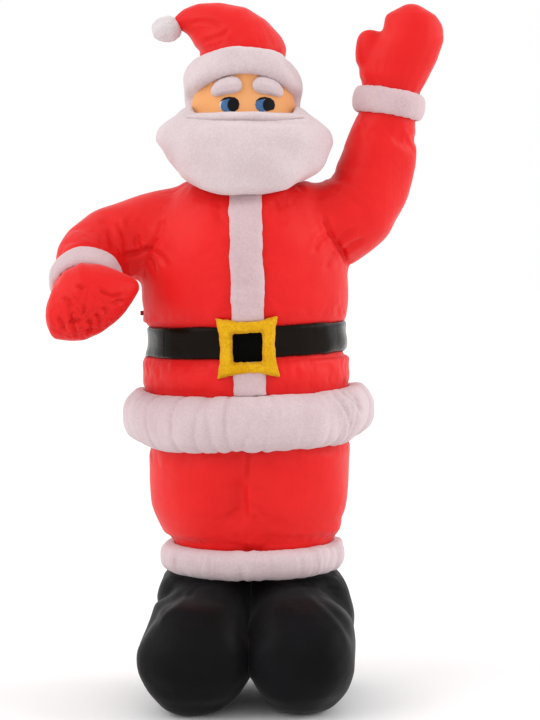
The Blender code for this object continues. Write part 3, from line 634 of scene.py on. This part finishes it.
    def even_girth(self, blur_parts):
        """Takes the facets off a ring round the upright axis, and keeps its edges sharp."""
        offset = self.points - (self.points.min(axis=0) + self.points.max(axis=0)) / 2
        turn = np.arctan2(offset[:, 1], offset[:, 0])
        away = np.hypot(offset[:, 0], offset[:, 1])
        number = ((turn + math.pi) / (2 * math.pi) * TURN_PARTS).astype(int) % TURN_PARTS
        girth = np.zeros(TURN_PARTS)
        np.maximum.at(girth, number, away)
        bell = np.exp(-((np.arange(-TURN_REACH, TURN_REACH + 1) / blur_parts) ** 2))
        wide = np.concatenate((girth[-TURN_REACH:], girth, girth[:TURN_REACH]))
        change = np.convolve(wide, bell / bell.sum(), "valid") - girth
        middles = (np.arange(TURN_PARTS) + 0.5) / TURN_PARTS * 2 * math.pi - math.pi
        amount = np.interp(turn, middles, change, period=2 * math.pi)
        self.points[:, :2] += offset[:, :2] * (amount / away)[:, None]

    def nudge(self, nudges_px):
        """Moves the places that the camera sees near some pixels, sideways and up or down."""
        places = seen(self.points)
        metres_per_pixel = np.linalg.norm(self.points - np.array(CAMERA_PLACE), axis=1) / FOCAL_PX
        for centre, shift, radius in nudges_px:
            away = np.linalg.norm(places - np.array(centre), axis=1)
            amount = np.exp(-((away / radius) ** 2)) * metres_per_pixel
            self.points[:, 0] += shift[0] * amount
            self.points[:, 2] -= shift[1] * amount

    def facing(self):
        """One where the surface faces the photograph's camera, and zero where it faces away."""
        to_camera = np.array(CAMERA_PLACE) - self.points
        to_camera /= np.linalg.norm(to_camera, axis=1)[:, None]
        return np.clip(np.einsum("ij,ij->i", self.normals(), to_camera) * 4, 0, 1)

    def crease(self, path_px, width_px, depth, lip=0.35):
        """A soft groove with raised sides over the part that the camera sees."""
        away, share = along(seen(self.points), path_px)
        taper = np.clip(np.sin(math.pi * np.clip(share, 0.02, 0.98)) * 1.8, 0, 1)
        groove = -np.exp(-((away / width_px) ** 2))
        sides = lip * np.exp(-(((away - 2 * width_px) / width_px) ** 2))
        self.push(depth * (groove + sides) * taper * self.facing())

    def dent(self, path_px, width_px, depth, edge_px):
        """A hollow that slopes down from the left and ends at a steep wall."""
        places = seen(self.points)
        away = along(places, path_px)[0]
        bowl = np.exp(-((away / width_px) ** 2))
        wall = (edge_px + DENT_WALL_PX / 2 - places[:, 0]) / DENT_WALL_PX
        hollow = bowl * np.clip(wall, 0, 1)
        beyond = np.clip((places[:, 0] - edge_px) / DENT_RIDGE_PX, 0, 1)
        ridge = DENT_RIDGE_SHARE * bowl * beyond
        self.push(self.spread(-depth * (hollow - ridge) * self.facing(), 2))

    def crumple(self, centre_px, radius_px, depth, length, seed):
        """Many small crossing creases round one place that the camera sees."""
        away = np.linalg.norm(seen(self.points) - np.array(centre_px), axis=1)
        lines = tucks(ripple(self.points, length, seed), 0.3) - 0.25
        self.push(-depth * lines * np.exp(-((away / radius_px) ** 4)) * self.facing())

    def panel_seam(self, side, depth, width, seed):
        """An upright sewn seam on the side that a vector points to, with small puckers."""
        side = unit(side)
        offset = self.points - (self.points.min(axis=0) + self.points.max(axis=0)) / 2
        across = np.abs(offset @ np.cross(side, (0, 0, 1)))
        there = np.clip(self.normals() @ side * 3, 0, 1)
        groove = np.exp(-((across / width) ** 2))
        puckers = tucks(ripple(self.points, SEAM_PUCKER_LENGTH, seed, (0.1, 0.1, 1)))
        puckers *= np.exp(-((across / SEAM_PUCKER_REACH) ** 2))
        self.push(-(depth * groove + 0.4 * depth * puckers) * there)

    def show(self, slot, material=None):
        """Makes the object that stands for the CAD nodes."""
        self.nudge(ALL_NUDGES_PX)
        self.write()
        self.mesh.polygons.foreach_set("use_smooth", np.ones(len(self.mesh.polygons), dtype=bool))
        piece = bpy.data.objects.new(self.nodes[0] + "_cloth", self.mesh)
        bpy.context.scene.collection.objects.link(piece)
        self.mesh.materials.append(finish[material or slot])
        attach(piece, "root")
        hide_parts(*self.nodes)
        return piece


# Materials


def shader_tree(name):
    """A new material, its node tree, its main shader and metre coordinates."""
    material = bpy.data.materials.new(name)
    material.use_nodes = True
    tree = material.node_tree
    shader = tree.nodes["Principled BSDF"]
    place = tree.nodes.new("ShaderNodeTexCoord").outputs["Object"]
    return material, tree, shader, place


def noise(tree, place, scale, detail=2.0):
    """Noise from 0 to 1, with scale in bumps for each metre."""
    node = tree.nodes.new("ShaderNodeTexNoise")
    node.inputs["Scale"].default_value = scale
    node.inputs["Detail"].default_value = detail
    tree.links.new(place, node.inputs["Vector"])
    return node.outputs["Fac"]


def band(tree, place, direction, scale):
    """Even waves along one axis, with scale in threads for each metre."""
    node = tree.nodes.new("ShaderNodeTexWave")
    node.bands_direction = direction
    node.inputs["Scale"].default_value = scale / 20
    node.inputs["Distortion"].default_value = 0.6
    tree.links.new(place, node.inputs["Vector"])
    return node.outputs["Fac"]


def calculated(tree, operation, first, second):
    """A sum, product or other result of two values."""
    node = tree.nodes.new("ShaderNodeMath")
    node.operation = operation
    for socket, value in zip(node.inputs, (first, second)):
        if isinstance(value, (int, float)):
            socket.default_value = value
        else:
            tree.links.new(value, socket)
    return node.outputs["Value"]


def ramp(tree, value, stops):
    """Colours along a value, from (place, colour) stops."""
    node = tree.nodes.new("ShaderNodeValToRGB")
    node.color_ramp.elements.remove(node.color_ramp.elements[1])
    for number, (place, colour) in enumerate(stops):
        if number:
            element = node.color_ramp.elements.new(place)
        else:
            element = node.color_ramp.elements[0]
            element.position = place
        element.color = (*colour, 1)
    tree.links.new(value, node.inputs["Fac"])
    return node.outputs["Color"]


def mixed(tree, share, first, second):
    """The first colour where the share is 0, and the second where it is 1."""
    node = tree.nodes.new("ShaderNodeMix")
    node.data_type = "RGBA"
    tree.links.new(share, node.inputs["Factor"])
    for socket, colour in (("A", first), ("B", second)):
        target = next(s for s in node.inputs if s.name == socket and s.type == "RGBA")
        if isinstance(colour, tuple):
            target.default_value = (*colour, 1)
        else:
            tree.links.new(colour, target)
    return next(s for s in node.outputs if s.type == "RGBA")


def ranged(tree, value, low, high, low_in=0.0, high_in=1.0):
    """A value, carried from one range to another."""
    node = tree.nodes.new("ShaderNodeMapRange")
    node.inputs["From Min"].default_value = low_in
    node.inputs["From Max"].default_value = high_in
    node.inputs["To Min"].default_value = low
    node.inputs["To Max"].default_value = high
    tree.links.new(value, node.inputs["Value"])
    return node.outputs["Result"]


def bumped(tree, shader, height, distance, strength=1.0, below=None):
    """Gives the shader small relief, on top of coarser relief where there is some."""
    node = tree.nodes.new("ShaderNodeBump")
    node.inputs["Distance"].default_value = distance
    node.inputs["Strength"].default_value = strength
    tree.links.new(height, node.inputs["Height"])
    if below is not None:
        tree.links.new(below, node.inputs["Normal"])
    tree.links.new(node.outputs["Normal"], shader.inputs["Normal"])
    return node.outputs["Normal"]


def nylon(name, deep, light, roughness, gloss, sheen, rim=None, threads=400):
    """Thin woven nylon: slow changes of tone, slight crinkles and a fine plain weave."""
    material, tree, shader, place = shader_tree(name)
    tone = noise(tree, place, 6, 3)
    tree.links.new(ramp(tree, tone, ((0.3, deep), (0.7, light))), shader.inputs["Base Color"])
    wear = noise(tree, place, 35, 3)
    tree.links.new(
        ranged(tree, wear, roughness - 0.06, roughness + 0.06), shader.inputs["Roughness"]
    )
    shader.inputs["Specular IOR Level"].default_value = gloss
    if rim:
        slant = tree.nodes.new("ShaderNodeLayerWeight").outputs["Facing"]
        tree.links.new(ranged(tree, slant, gloss, rim, 0.4, 0.9), shader.inputs["Specular IOR Level"])
    shader.inputs["Sheen Weight"].default_value = sheen
    shader.inputs["Sheen Roughness"].default_value = 0.35
    crinkle = bumped(tree, shader, noise(tree, place, 22, 4), 0.006, 0.35)
    weft = band(tree, place, "Z", threads)
    warp = band(tree, place, "X", threads)
    bumped(tree, shader, calculated(tree, "MULTIPLY", weft, warp), 0.0003, 0.4, crinkle)
    return material


def plush(name, deep, light, nap=0.0014, sheen=0.35):
    """Brushed nylon: matt, softly mottled, with a short nap."""
    material, tree, shader, place = shader_tree(name)
    fine = calculated(tree, "MULTIPLY", noise(tree, place, 150, 2), 0.6)
    mottle = calculated(tree, "ADD", calculated(tree, "MULTIPLY", noise(tree, place, 9, 2), 0.4), fine)
    tree.links.new(ramp(tree, mottle, ((0.36, deep), (0.64, light))), shader.inputs["Base Color"])
    tree.links.new(ranged(tree, noise(tree, place, 60), 0.80, 0.98), shader.inputs["Roughness"])
    shader.inputs["Specular IOR Level"].default_value = 0.05
    shader.inputs["Sheen Weight"].default_value = sheen
    shader.inputs["Sheen Roughness"].default_value = 0.6
    soft = bumped(tree, shader, noise(tree, place, 70, 3), 0.003, 0.4)
    bumped(tree, shader, noise(tree, place, 300, 2), nap, 0.6, soft)
    return material


def printed_eye(name, middle, iris_shift, pupil_shift):
    """A printed eye on a white patch: blue iris, black pupil beside it and a dark upper lid."""
    material, tree, shader, place = shader_tree(name)
    parts = tree.nodes.new("ShaderNodeSeparateXYZ")
    tree.links.new(place, parts.inputs["Vector"])
    across = calculated(tree, "SUBTRACT", parts.outputs["X"], middle[0])
    height = calculated(tree, "SUBTRACT", parts.outputs["Z"], middle[1])

    def disc(shift, radii, edge):
        """One inside an oval, zero outside it."""
        squares = []
        for value, off, radius in zip((across, height), shift, radii):
            apart = calculated(tree, "SUBTRACT", value, off)
            share = calculated(tree, "DIVIDE", apart, radius)
            size = calculated(tree, "ABSOLUTE", share, 0)
            squares.append(calculated(tree, "POWER", size, 2))
        return ranged(tree, calculated(tree, "ADD", *squares), 1, 0, 1 - edge, 1 + edge)

    grain = noise(tree, place, 260, 2)
    white = ramp(tree, grain, ((0.3, (0.66, 0.68, 0.70)), (0.7, (0.76, 0.77, 0.78))))
    blue = ramp(tree, grain, ((0.3, (0.035, 0.10, 0.24)), (0.7, (0.080, 0.18, 0.36))))
    colour = mixed(tree, disc(iris_shift, EYE_IRIS, 0.15), white, blue)
    colour = mixed(tree, disc(pupil_shift, EYE_PUPIL, 0.12), colour, (0.004, 0.004, 0.006))
    below_lid = disc((0, EYE_LID_DROP), EYE_OPENING, 0.06)
    colour = mixed(tree, below_lid, (0.008, 0.007, 0.008), colour)
    tree.links.new(colour, shader.inputs["Base Color"])
    tree.links.new(ranged(tree, grain, 0.40, 0.55), shader.inputs["Roughness"])
    shader.inputs["Specular IOR Level"].default_value = 0.10
    return material


def make_materials():
    """Every finish of the figure, by its name: the record's slots, and copies of the white plush with
    painted light: darker, pinker ones with painted shade and painted red reflected light for the
    rolls, the cuffs and the strip, and a lighter one with painted light for the ball.
    """
    return {
        "red_nylon": nylon("red_nylon", (0.67, 0.005, 0.005), (0.73, 0.010, 0.009), 0.50, 0.20, 0.13),
        "black_nylon": nylon(
            "black_nylon", (0.002, 0.002, 0.002), (0.004, 0.004, 0.005), 0.50, 0.07, 0.08
        ),
        "belt_nylon": nylon(
            "belt_nylon", (0.005, 0.003, 0.002), (0.008, 0.005, 0.003), 0.26, 0.06, 0.03, 0.9
        ),
        "skin_nylon": nylon("skin_nylon", (0.76, 0.34, 0.115), (0.82, 0.39, 0.160), 0.62, 0.2, 0.05),
        "gold_felt": plush("gold_felt", (0.55, 0.26, 0.002), (0.72, 0.40, 0.012), 0.0008, 0.03),
        "white_plush": plush("white_plush", (0.560, 0.440, 0.455), (0.625, 0.520, 0.535)),
        # A lighter copy of the white plush: painted light on the ball, against the shade of its tufts.
        "lit_ball_plush": plush("lit_ball_plush", (0.585, 0.515, 0.525), (0.665, 0.605, 0.615)),
        # A darker, pinker copy of the white plush: painted shade and painted red reflected light on
        # the hem and ankle rolls.
        "shaded_roll_plush": plush("shaded_roll_plush", (0.540, 0.405, 0.425), (0.605, 0.480, 0.500)),
        # A still darker, pinker copy of the white plush: painted shade and painted red reflected light
        # on the cuffs and the front strip.
        "shaded_strip_plush": plush("shaded_strip_plush", (0.530, 0.370, 0.390), (0.590, 0.440, 0.455)),
        "black_felt": plush("black_felt", (0.001, 0.001, 0.001), (0.002, 0.002, 0.002), 0.0008, 0.0),
        "red_webbing": nylon("red_webbing", (0.20, 0.006, 0.01), (0.30, 0.01, 0.015), 0.7, 0.2, 0.05),
    }


# Pieces


def trousers():
    """The trousers, with the creases of the front and the seams of the sides and the back."""
    cloth = Cloth("trousers", BLOWN_CELL, ("coat_hem_trim", "trouser_trim", "coat"))
    cloth.inflate()
    cloth.finer()
    cloth.billow(depth=0.003, length=0.28, seed=10)
    cloth.gather(pull=0.002, pleat=0.002, width=0.024, length=0.036, seed=11)
    cloth.dent(TROUSER_DIMPLE_PX, width_px=14, depth=0.026, edge_px=DIMPLE_EDGE_PX)
    cloth.crease(TROUSER_RIDGE_PX, width_px=3.0, depth=-0.005, lip=0)
    cloth.crease(TROUSER_CREASE_PX, width_px=1.8, depth=0.010, lip=0.2)
    cloth.crease(TROUSER_SEAM_PX, width_px=1.8, depth=0.003, lip=0.2)
    for path in TROUSER_PUCKERS_PX:
        cloth.crease(path, width_px=2.8, depth=0.003)
    for number, side in enumerate(((1, 0.2, 0), (-1, 0.2, 0), (0, 1, 0))):
        cloth.panel_seam(side, depth=0.003, width=0.006, seed=14 + number)
    cloth.show("red_nylon")


def square_waist(points):
    """Brings the coat's sides out to the belt's edges, as far as the belt leaves them free."""
    aside = points[:, 0] - COAT_MIDDLE
    flank = np.clip((np.abs(aside) - FLANK_START) / FLANK_FADE, 0, 1)
    flank *= np.abs(aside) < FLANK_END
    for edge, way, rounding, amount in WAIST_EDGES:
        beyond = (points[:, 2] - edge) * way
        fall = np.clip(1 - beyond / rounding, 0, 1) ** 1.5 * (beyond > -EDGE_OVERLAP)
        points[:, 0] += amount * fall * flank * np.sign(aside)


def coat():
    """The coat and both sleeves in one skin, with a puckered seam round each shoulder."""
    nodes = ("coat", "right_sleeve", "left_sleeve")
    seats = (
        "coat_hem_trim", "front_placket", "belt", "beard", "trousers",
        "right_cuff", "left_cuff", "right_mitten", "left_mitten",
    )
    cloth = Cloth(nodes, BLOWN_CELL, seats)
    cloth.inflate()
    cloth.finer()
    square_waist(cloth.points)
    cloth.billow(depth=0.003, length=0.26, seed=20)
    cloth.gather(pull=0.0, pleat=0.002, width=0.026, length=0.036, seed=21)
    shoulders = cloth.joints()
    cloth.gather(pull=0.0015, pleat=0.003, width=0.040, length=0.040, seed=23, line=shoulders)
    cloth.crease(ELBOW_CREASE_PX, width_px=2.6, depth=0.012)
    cloth.crease(ARMPIT_CREASE_PX, width_px=2.4, depth=0.010)
    for path in ARM_FOLDS_PX + RAISED_ARM_FOLDS_PX:
        cloth.crease(path, width_px=2.6, depth=0.007)
    cloth.nudge(COAT_NUDGES_PX)
    cloth.show("red_nylon")


def instep(node):
    """Points whose hull fills the step between a boot's shaft and its toe."""
    corners = np.array([corner.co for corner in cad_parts[node].data.vertices])
    kept = corners[(corners[:, 2] > INSTEP_FOOT) & (corners[:, 1] < INSTEP_BACK)]
    kept[:, 0] = PARTING + (kept[:, 0] - PARTING) * INSTEP_SHARE
    return kept


def press_together(points, toward):
    """Swells the toe's inner side until it lies against the other boot."""
    beside = np.abs(points[:, 0] - PARTING)
    height = np.exp(-(((points[:, 2] - PRESS_HEIGHT) / PRESS_HEIGHT_FADE) ** 2))
    side = np.exp(-((beside / PRESS_SIDE_FADE) ** 2))
    amount = PRESS_REACH * height * side * (points[:, 1] < PRESS_BACK)
    points[:, 0] += toward * np.minimum(amount, beside + PRESS_OVERLAP)


def boots():
    """Both boots, which stand on the floor and press against each other."""
    for number, (side, toward) in enumerate((("right", 1), ("left", -1))):
        node = side + "_boot"
        cloth = Cloth(node, WIDE_CELL, ("trouser_trim",), filling=instep(node))
        press_together(cloth.points, toward)
        cloth.billow(depth=0.003, length=0.2, seed=30 + number)
        cloth.gather(pull=0.003, pleat=0.004, width=0.05, length=0.04, seed=32 + number)
        cloth.crease(BOOT_SEAMS_PX[side], width_px=2.6, depth=0.003, lip=0.6)
        for path in BOOT_WRINKLES_PX[side]:
            cloth.crease(path, width_px=2.2, depth=0.0025)
        cloth.points[:, 2] = np.maximum(cloth.points[:, 2], 0)
        cloth.show("black_nylon")


def mittens():
    """Both mittens; the lowered one, on the figure's right, is crumpled."""
    for number, side in enumerate(("right", "left")):
        seats = (side + "_cuff", side + "_sleeve")
        cloth = Cloth(side + "_mitten", TRIM_CELL, seats, facet_blur=0.013)
        cloth.gather(pull=0.001, pleat=0.004, width=0.045, length=0.036, seed=51 + number)
        if side == "right":
            for path in LOWERED_MITTEN_PX:
                cloth.crease(path, width_px=1.8, depth=0.009)
            cloth.crumple(MITTEN_CRUMPLE_PX, radius_px=32, depth=0.0045, length=0.040, seed=55)
            cloth.crumple(MITTEN_CRUMPLE_PX, radius_px=28, depth=0.0025, length=0.018, seed=56)
        cloth.show("red_nylon")


def ring_axis(points):
    """The axis of a short ring: the way in which its points spread the least."""
    return np.linalg.eigh(np.cov(points.T))[1][:, 0]


def rolls():
    """The gathered white rolls at the hem, the ankles and the wrists."""
    for number, (node, depth, seats) in enumerate((
        ("coat_hem_trim", 0.0045, ("coat", "trousers", "front_placket")),
        ("trouser_trim", 0.0038, ("trousers", "right_boot", "left_boot")),
        ("right_cuff", 0.0015, ("right_sleeve", "right_mitten")),
        ("left_cuff", 0.0015, ("left_sleeve", "left_mitten")),
    )):
        cloth = Cloth(node, TRIM_CELL, seats, TRIM_BLUR)
        axis = ring_axis(cloth.points) if "cuff" in node else (0, 0, 1)
        ring = cloth.ring_places(axis)
        cloth.fold(ring, depth, length=0.120, seed=61 + number)
        cloth.fold(ring, depth * 0.6, length=0.040, seed=65 + number)
        cloth.gather(pull=0.001, pleat=depth * 0.5, width=0.026, length=0.026, seed=71 + number)
        if node == "coat_hem_trim":
            for path in HEM_CREASES_PX:
                cloth.crease(path, width_px=1.8, depth=0.006)
        # The hem and ankle rolls get a darker, pinker copy of the white plush, and the cuffs a still
        # darker one: painted shade and painted red reflected light.
        cloth.show("white_plush", "shaded_strip_plush" if "cuff" in node else "shaded_roll_plush")


def fill_temples(points):
    """Lets the hair run straight down from the hat's band to the beard, and arches the band's top."""
    aside = points[:, 0] - HEAD_MIDDLE
    low = np.exp(-(((points[:, 2] - TEMPLE_HEIGHT) / TEMPLE_HEIGHT_FADE) ** 2))
    outer = np.clip((np.abs(aside) - TEMPLE_START) / TEMPLE_FADE, 0, 1)
    points[:, 0] += TEMPLE_PUSH * low * outer * np.sign(aside)
    high = np.clip((points[:, 2] - BAND_FOOT) / BAND_FADE, 0, 1)
    arch = np.clip(np.abs(aside) / BAND_HALF_WIDTH, 0, 1) ** 2
    points[:, 2] -= high * (BAND_DROP + BAND_SIDE_DROP * arch)


def straighten_lip(points):
    """Takes the beard's top corners down to the straight lower edge of the face."""
    aside = np.abs(points[:, 0] - HEAD_MIDDLE)
    inside = np.clip((FACE_HALF_WIDTH - aside) / FACE_SIDE_FADE, 0, 1)
    inside *= points[:, 1] < FACE_BACK
    over = np.clip(points[:, 2] - FACE_FOOT, 0, None) * (points[:, 2] < BROW_FOOT)
    points[:, 2] -= LEVEL_SHARE * over * inside


def head_pieces():
    """The face block, the white parts round it in one skin, the moustache and the eyebrows."""
    head = Cloth("head", TRIM_CELL, ("hair", "hat_band", "beard"), TRIM_BLUR)
    head.push(0.003)
    aside = head.points[:, 0] - HEAD_MIDDLE
    cheek = np.clip((np.abs(aside) - CHEEK_START) / CHEEK_FADE, 0, 1)
    cheek *= head.points[:, 2] > CHEEK_FOOT
    head.points[:, 0] += CHEEK_PUSH * cheek * np.sign(aside)
    head.show("skin_nylon")
    nodes = ("hat_band", "hair", "beard")
    seats = ("head", "hat", "coat", "front_placket", "moustache")
    whites = Cloth(nodes, TRIM_CELL, seats, TRIM_BLUR)
    whites.ease_joints(width=0.035, rounds=90, back=HAIR_BACK)
    fill_temples(whites.points)
    straighten_lip(whites.points)
    whites.nudge(BEARD_NUDGES_PX)
    whites.billow(depth=0.003, length=0.14, seed=80)
    whites.gather(pull=0.001, pleat=0.003, width=0.030, length=0.034, seed=81)
    whites.show("white_plush")
    moustache = Cloth("moustache", FACE_CELL, facet_blur=0.008)
    moustache.push(0.002 + 0.0010 * ripple(moustache.points, 0.09, 84))
    below = moustache.points[:, 2].max() - moustache.points[:, 2]
    aside = np.abs(moustache.points[:, 0] - HEAD_MIDDLE)
    lift = LIP_LIFT * np.clip((aside - LIP_TIP_START) / LIP_TIP_FADE, 0, 1) ** 2
    moustache.points[:, 2] = LIP_TOP - below * LIP_SHARE + lift
    moustache.show("white_plush")
    for side in ("right", "left"):
        brow = Cloth(side + "_eyebrow", SMALL_CELL, ("head",), facet_blur=0.004)
        brow.push(0.003)
        brow.show("white_plush")


def hat_pieces():
    """The bent cap and the ball on its tip."""
    hat = Cloth("hat", TRIM_CELL, ("hat_band", "pompom"), TRIM_BLUR)
    hat.gather(pull=0.001, pleat=0.004, width=0.040, length=0.036, seed=91)
    for path in HAT_ARCS_PX:
        hat.crease(path, width_px=2.1, depth=0.006)
    rise = np.clip(hat.points[:, 2] - HAT_FOOT, 0, None)
    hat.points[:, 2] += rise * ((HAT_TOP - HAT_FOOT) / rise.max() - 1)
    hat.show("red_nylon")
    ball = Cloth("pompom", SMALL_CELL, facet_blur=0.006)
    tufts = 0.0007 * ripple(ball.points, 0.024, 93)
    ball.push(tufts + 0.0006 * ripple(ball.points, 0.009, 94))
    middle = ball.points.mean(axis=0)
    ball.points = middle + (ball.points - middle) * POMPOM_SHAPE + POMPOM_DROP
    # The ball gets a lighter copy of the white plush: painted light against the shade of its tufts.
    ball.show("white_plush", "lit_ball_plush")


def front_pieces():
    """The white strip, the belt and its buckle."""
    seats = ("belt", "beard", "coat_hem_trim")
    strip = Cloth("front_placket", FACE_CELL, seats, facet_blur=0.010)
    strip.push(0.0015 * ripple(strip.points, 0.045, 101, (0.3, 0.3, 1)))
    # The strip gets a darker, pinker copy of the white plush: painted shade and painted red reflected
    # light.
    strip.show("white_plush", "shaded_strip_plush")
    belt = Cloth("belt", TRIM_CELL, facet_blur=0.013)
    belt.even_girth(blur_parts=7)
    belt.push(0.001 * ripple(belt.points, 0.09, 102, (1, 1, 0.3)) + 0.002)
    belt.show("belt_nylon")
    buckle = Cloth("belt_buckle", SMALL_CELL, facet_blur=0.005)
    buckle.push(0.0008 * ripple(buckle.points, 0.03, 103))
    buckle.show("gold_felt")


def buckle_patch():
    """The black felt in the buckle's opening."""
    patch = bmesh.new()
    bmesh.ops.create_cube(patch, size=1)
    bmesh.ops.scale(patch, vec=PATCH_SIZE, verts=patch.verts)
    bmesh.ops.translate(patch, vec=PATCH_PLACE, verts=patch.verts)
    mesh = bpy.data.meshes.new("buckle_patch")
    patch.to_mesh(mesh)
    patch.free()
    piece = bpy.data.objects.new("buckle_patch", mesh)
    bpy.context.scene.collection.objects.link(piece)
    mesh.materials.append(finish["black_felt"])
    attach(piece, "root")


def small_nodes():
    """The printed eyes and the folded tab, whose own solids are shown."""
    for node, places in EYES.items():
        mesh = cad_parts[node].data
        mesh.materials.clear()
        mesh.materials.append(printed_eye(node + "_print", *places))
    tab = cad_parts["tether_tab"].data
    tab.materials.clear()
    tab.materials.append(finish["red_webbing"])


# Studio


def floor():
    """A plain pale floor."""
    mesh = bpy.data.meshes.new("floor")
    corners = [(FLOOR_REACH * x, FLOOR_REACH * y, 0) for x, y in ((-1, -1), (1, -1), (1, 1), (-1, 1))]
    mesh.from_pydata(corners, [], [(0, 1, 2, 3)])
    piece = bpy.data.objects.new("floor", mesh)
    bpy.context.scene.collection.objects.link(piece)
    material, tree, shader, place = shader_tree("floor")
    tone = ramp(tree, noise(tree, place, 2), ((0.3, (0.91, 0.91, 0.91)), (0.7, (0.93, 0.93, 0.93))))
    tree.links.new(tone, shader.inputs["Base Color"])
    shader.inputs["Roughness"].default_value = 0.9
    mesh.materials.append(material)


def lights():
    """A white room, with soft light from both sides."""
    world = bpy.data.worlds.new("studio")
    bpy.context.scene.world = world
    world.use_nodes = True
    sky = world.node_tree.nodes["Background"]
    sky.inputs["Color"].default_value = (1, 1, 1, 1)
    sky.inputs["Strength"].default_value = 1.0
    for name, direction, softness, strength in (
        ("key", (-0.88, -0.42, 0.70), 50, 0.90),
        ("fill", (0.95, 0.00, 0.42), 40, 1.00),
    ):
        lamp = bpy.data.lights.new(name, "SUN")
        lamp.angle = math.radians(softness)
        lamp.energy = strength
        lamp_object = bpy.data.objects.new(name, lamp)
        bpy.context.scene.collection.objects.link(lamp_object)
        lamp_object.location = Vector(direction) * LAMP_DISTANCE
        aim = -Vector(direction)
        lamp_object.rotation_euler = aim.to_track_quat("-Z", "Y").to_euler()


def camera():
    """The photograph's camera. Its frame is upright, so the sensor's size is that of the height."""
    lens = bpy.data.cameras.new("camera")
    lens.sensor_width = SENSOR
    lens.lens = FOCAL_PX / IMAGE_HEIGHT_PX * SENSOR
    lens.clip_end = 200
    place = bpy.data.objects.new("camera", lens)
    bpy.context.scene.collection.objects.link(place)
    place.location = CAMERA_PLACE
    place.rotation_euler = (math.pi / 2 - CAMERA_TILT, 0, 0)
    bpy.context.scene.camera = place


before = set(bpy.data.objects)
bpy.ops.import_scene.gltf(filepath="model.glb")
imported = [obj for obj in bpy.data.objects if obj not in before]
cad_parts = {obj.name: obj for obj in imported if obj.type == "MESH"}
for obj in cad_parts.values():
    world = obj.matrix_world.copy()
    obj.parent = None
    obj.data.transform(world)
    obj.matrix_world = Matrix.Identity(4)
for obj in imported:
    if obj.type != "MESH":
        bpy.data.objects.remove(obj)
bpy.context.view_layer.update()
bpy.context.scene.view_settings.view_transform = "Standard"
finish = make_materials()
trousers()
coat()
boots()
mittens()
rolls()
head_pieces()
hat_pieces()
front_pieces()
buckle_patch()
small_nodes()
floor()
lights()
camera()
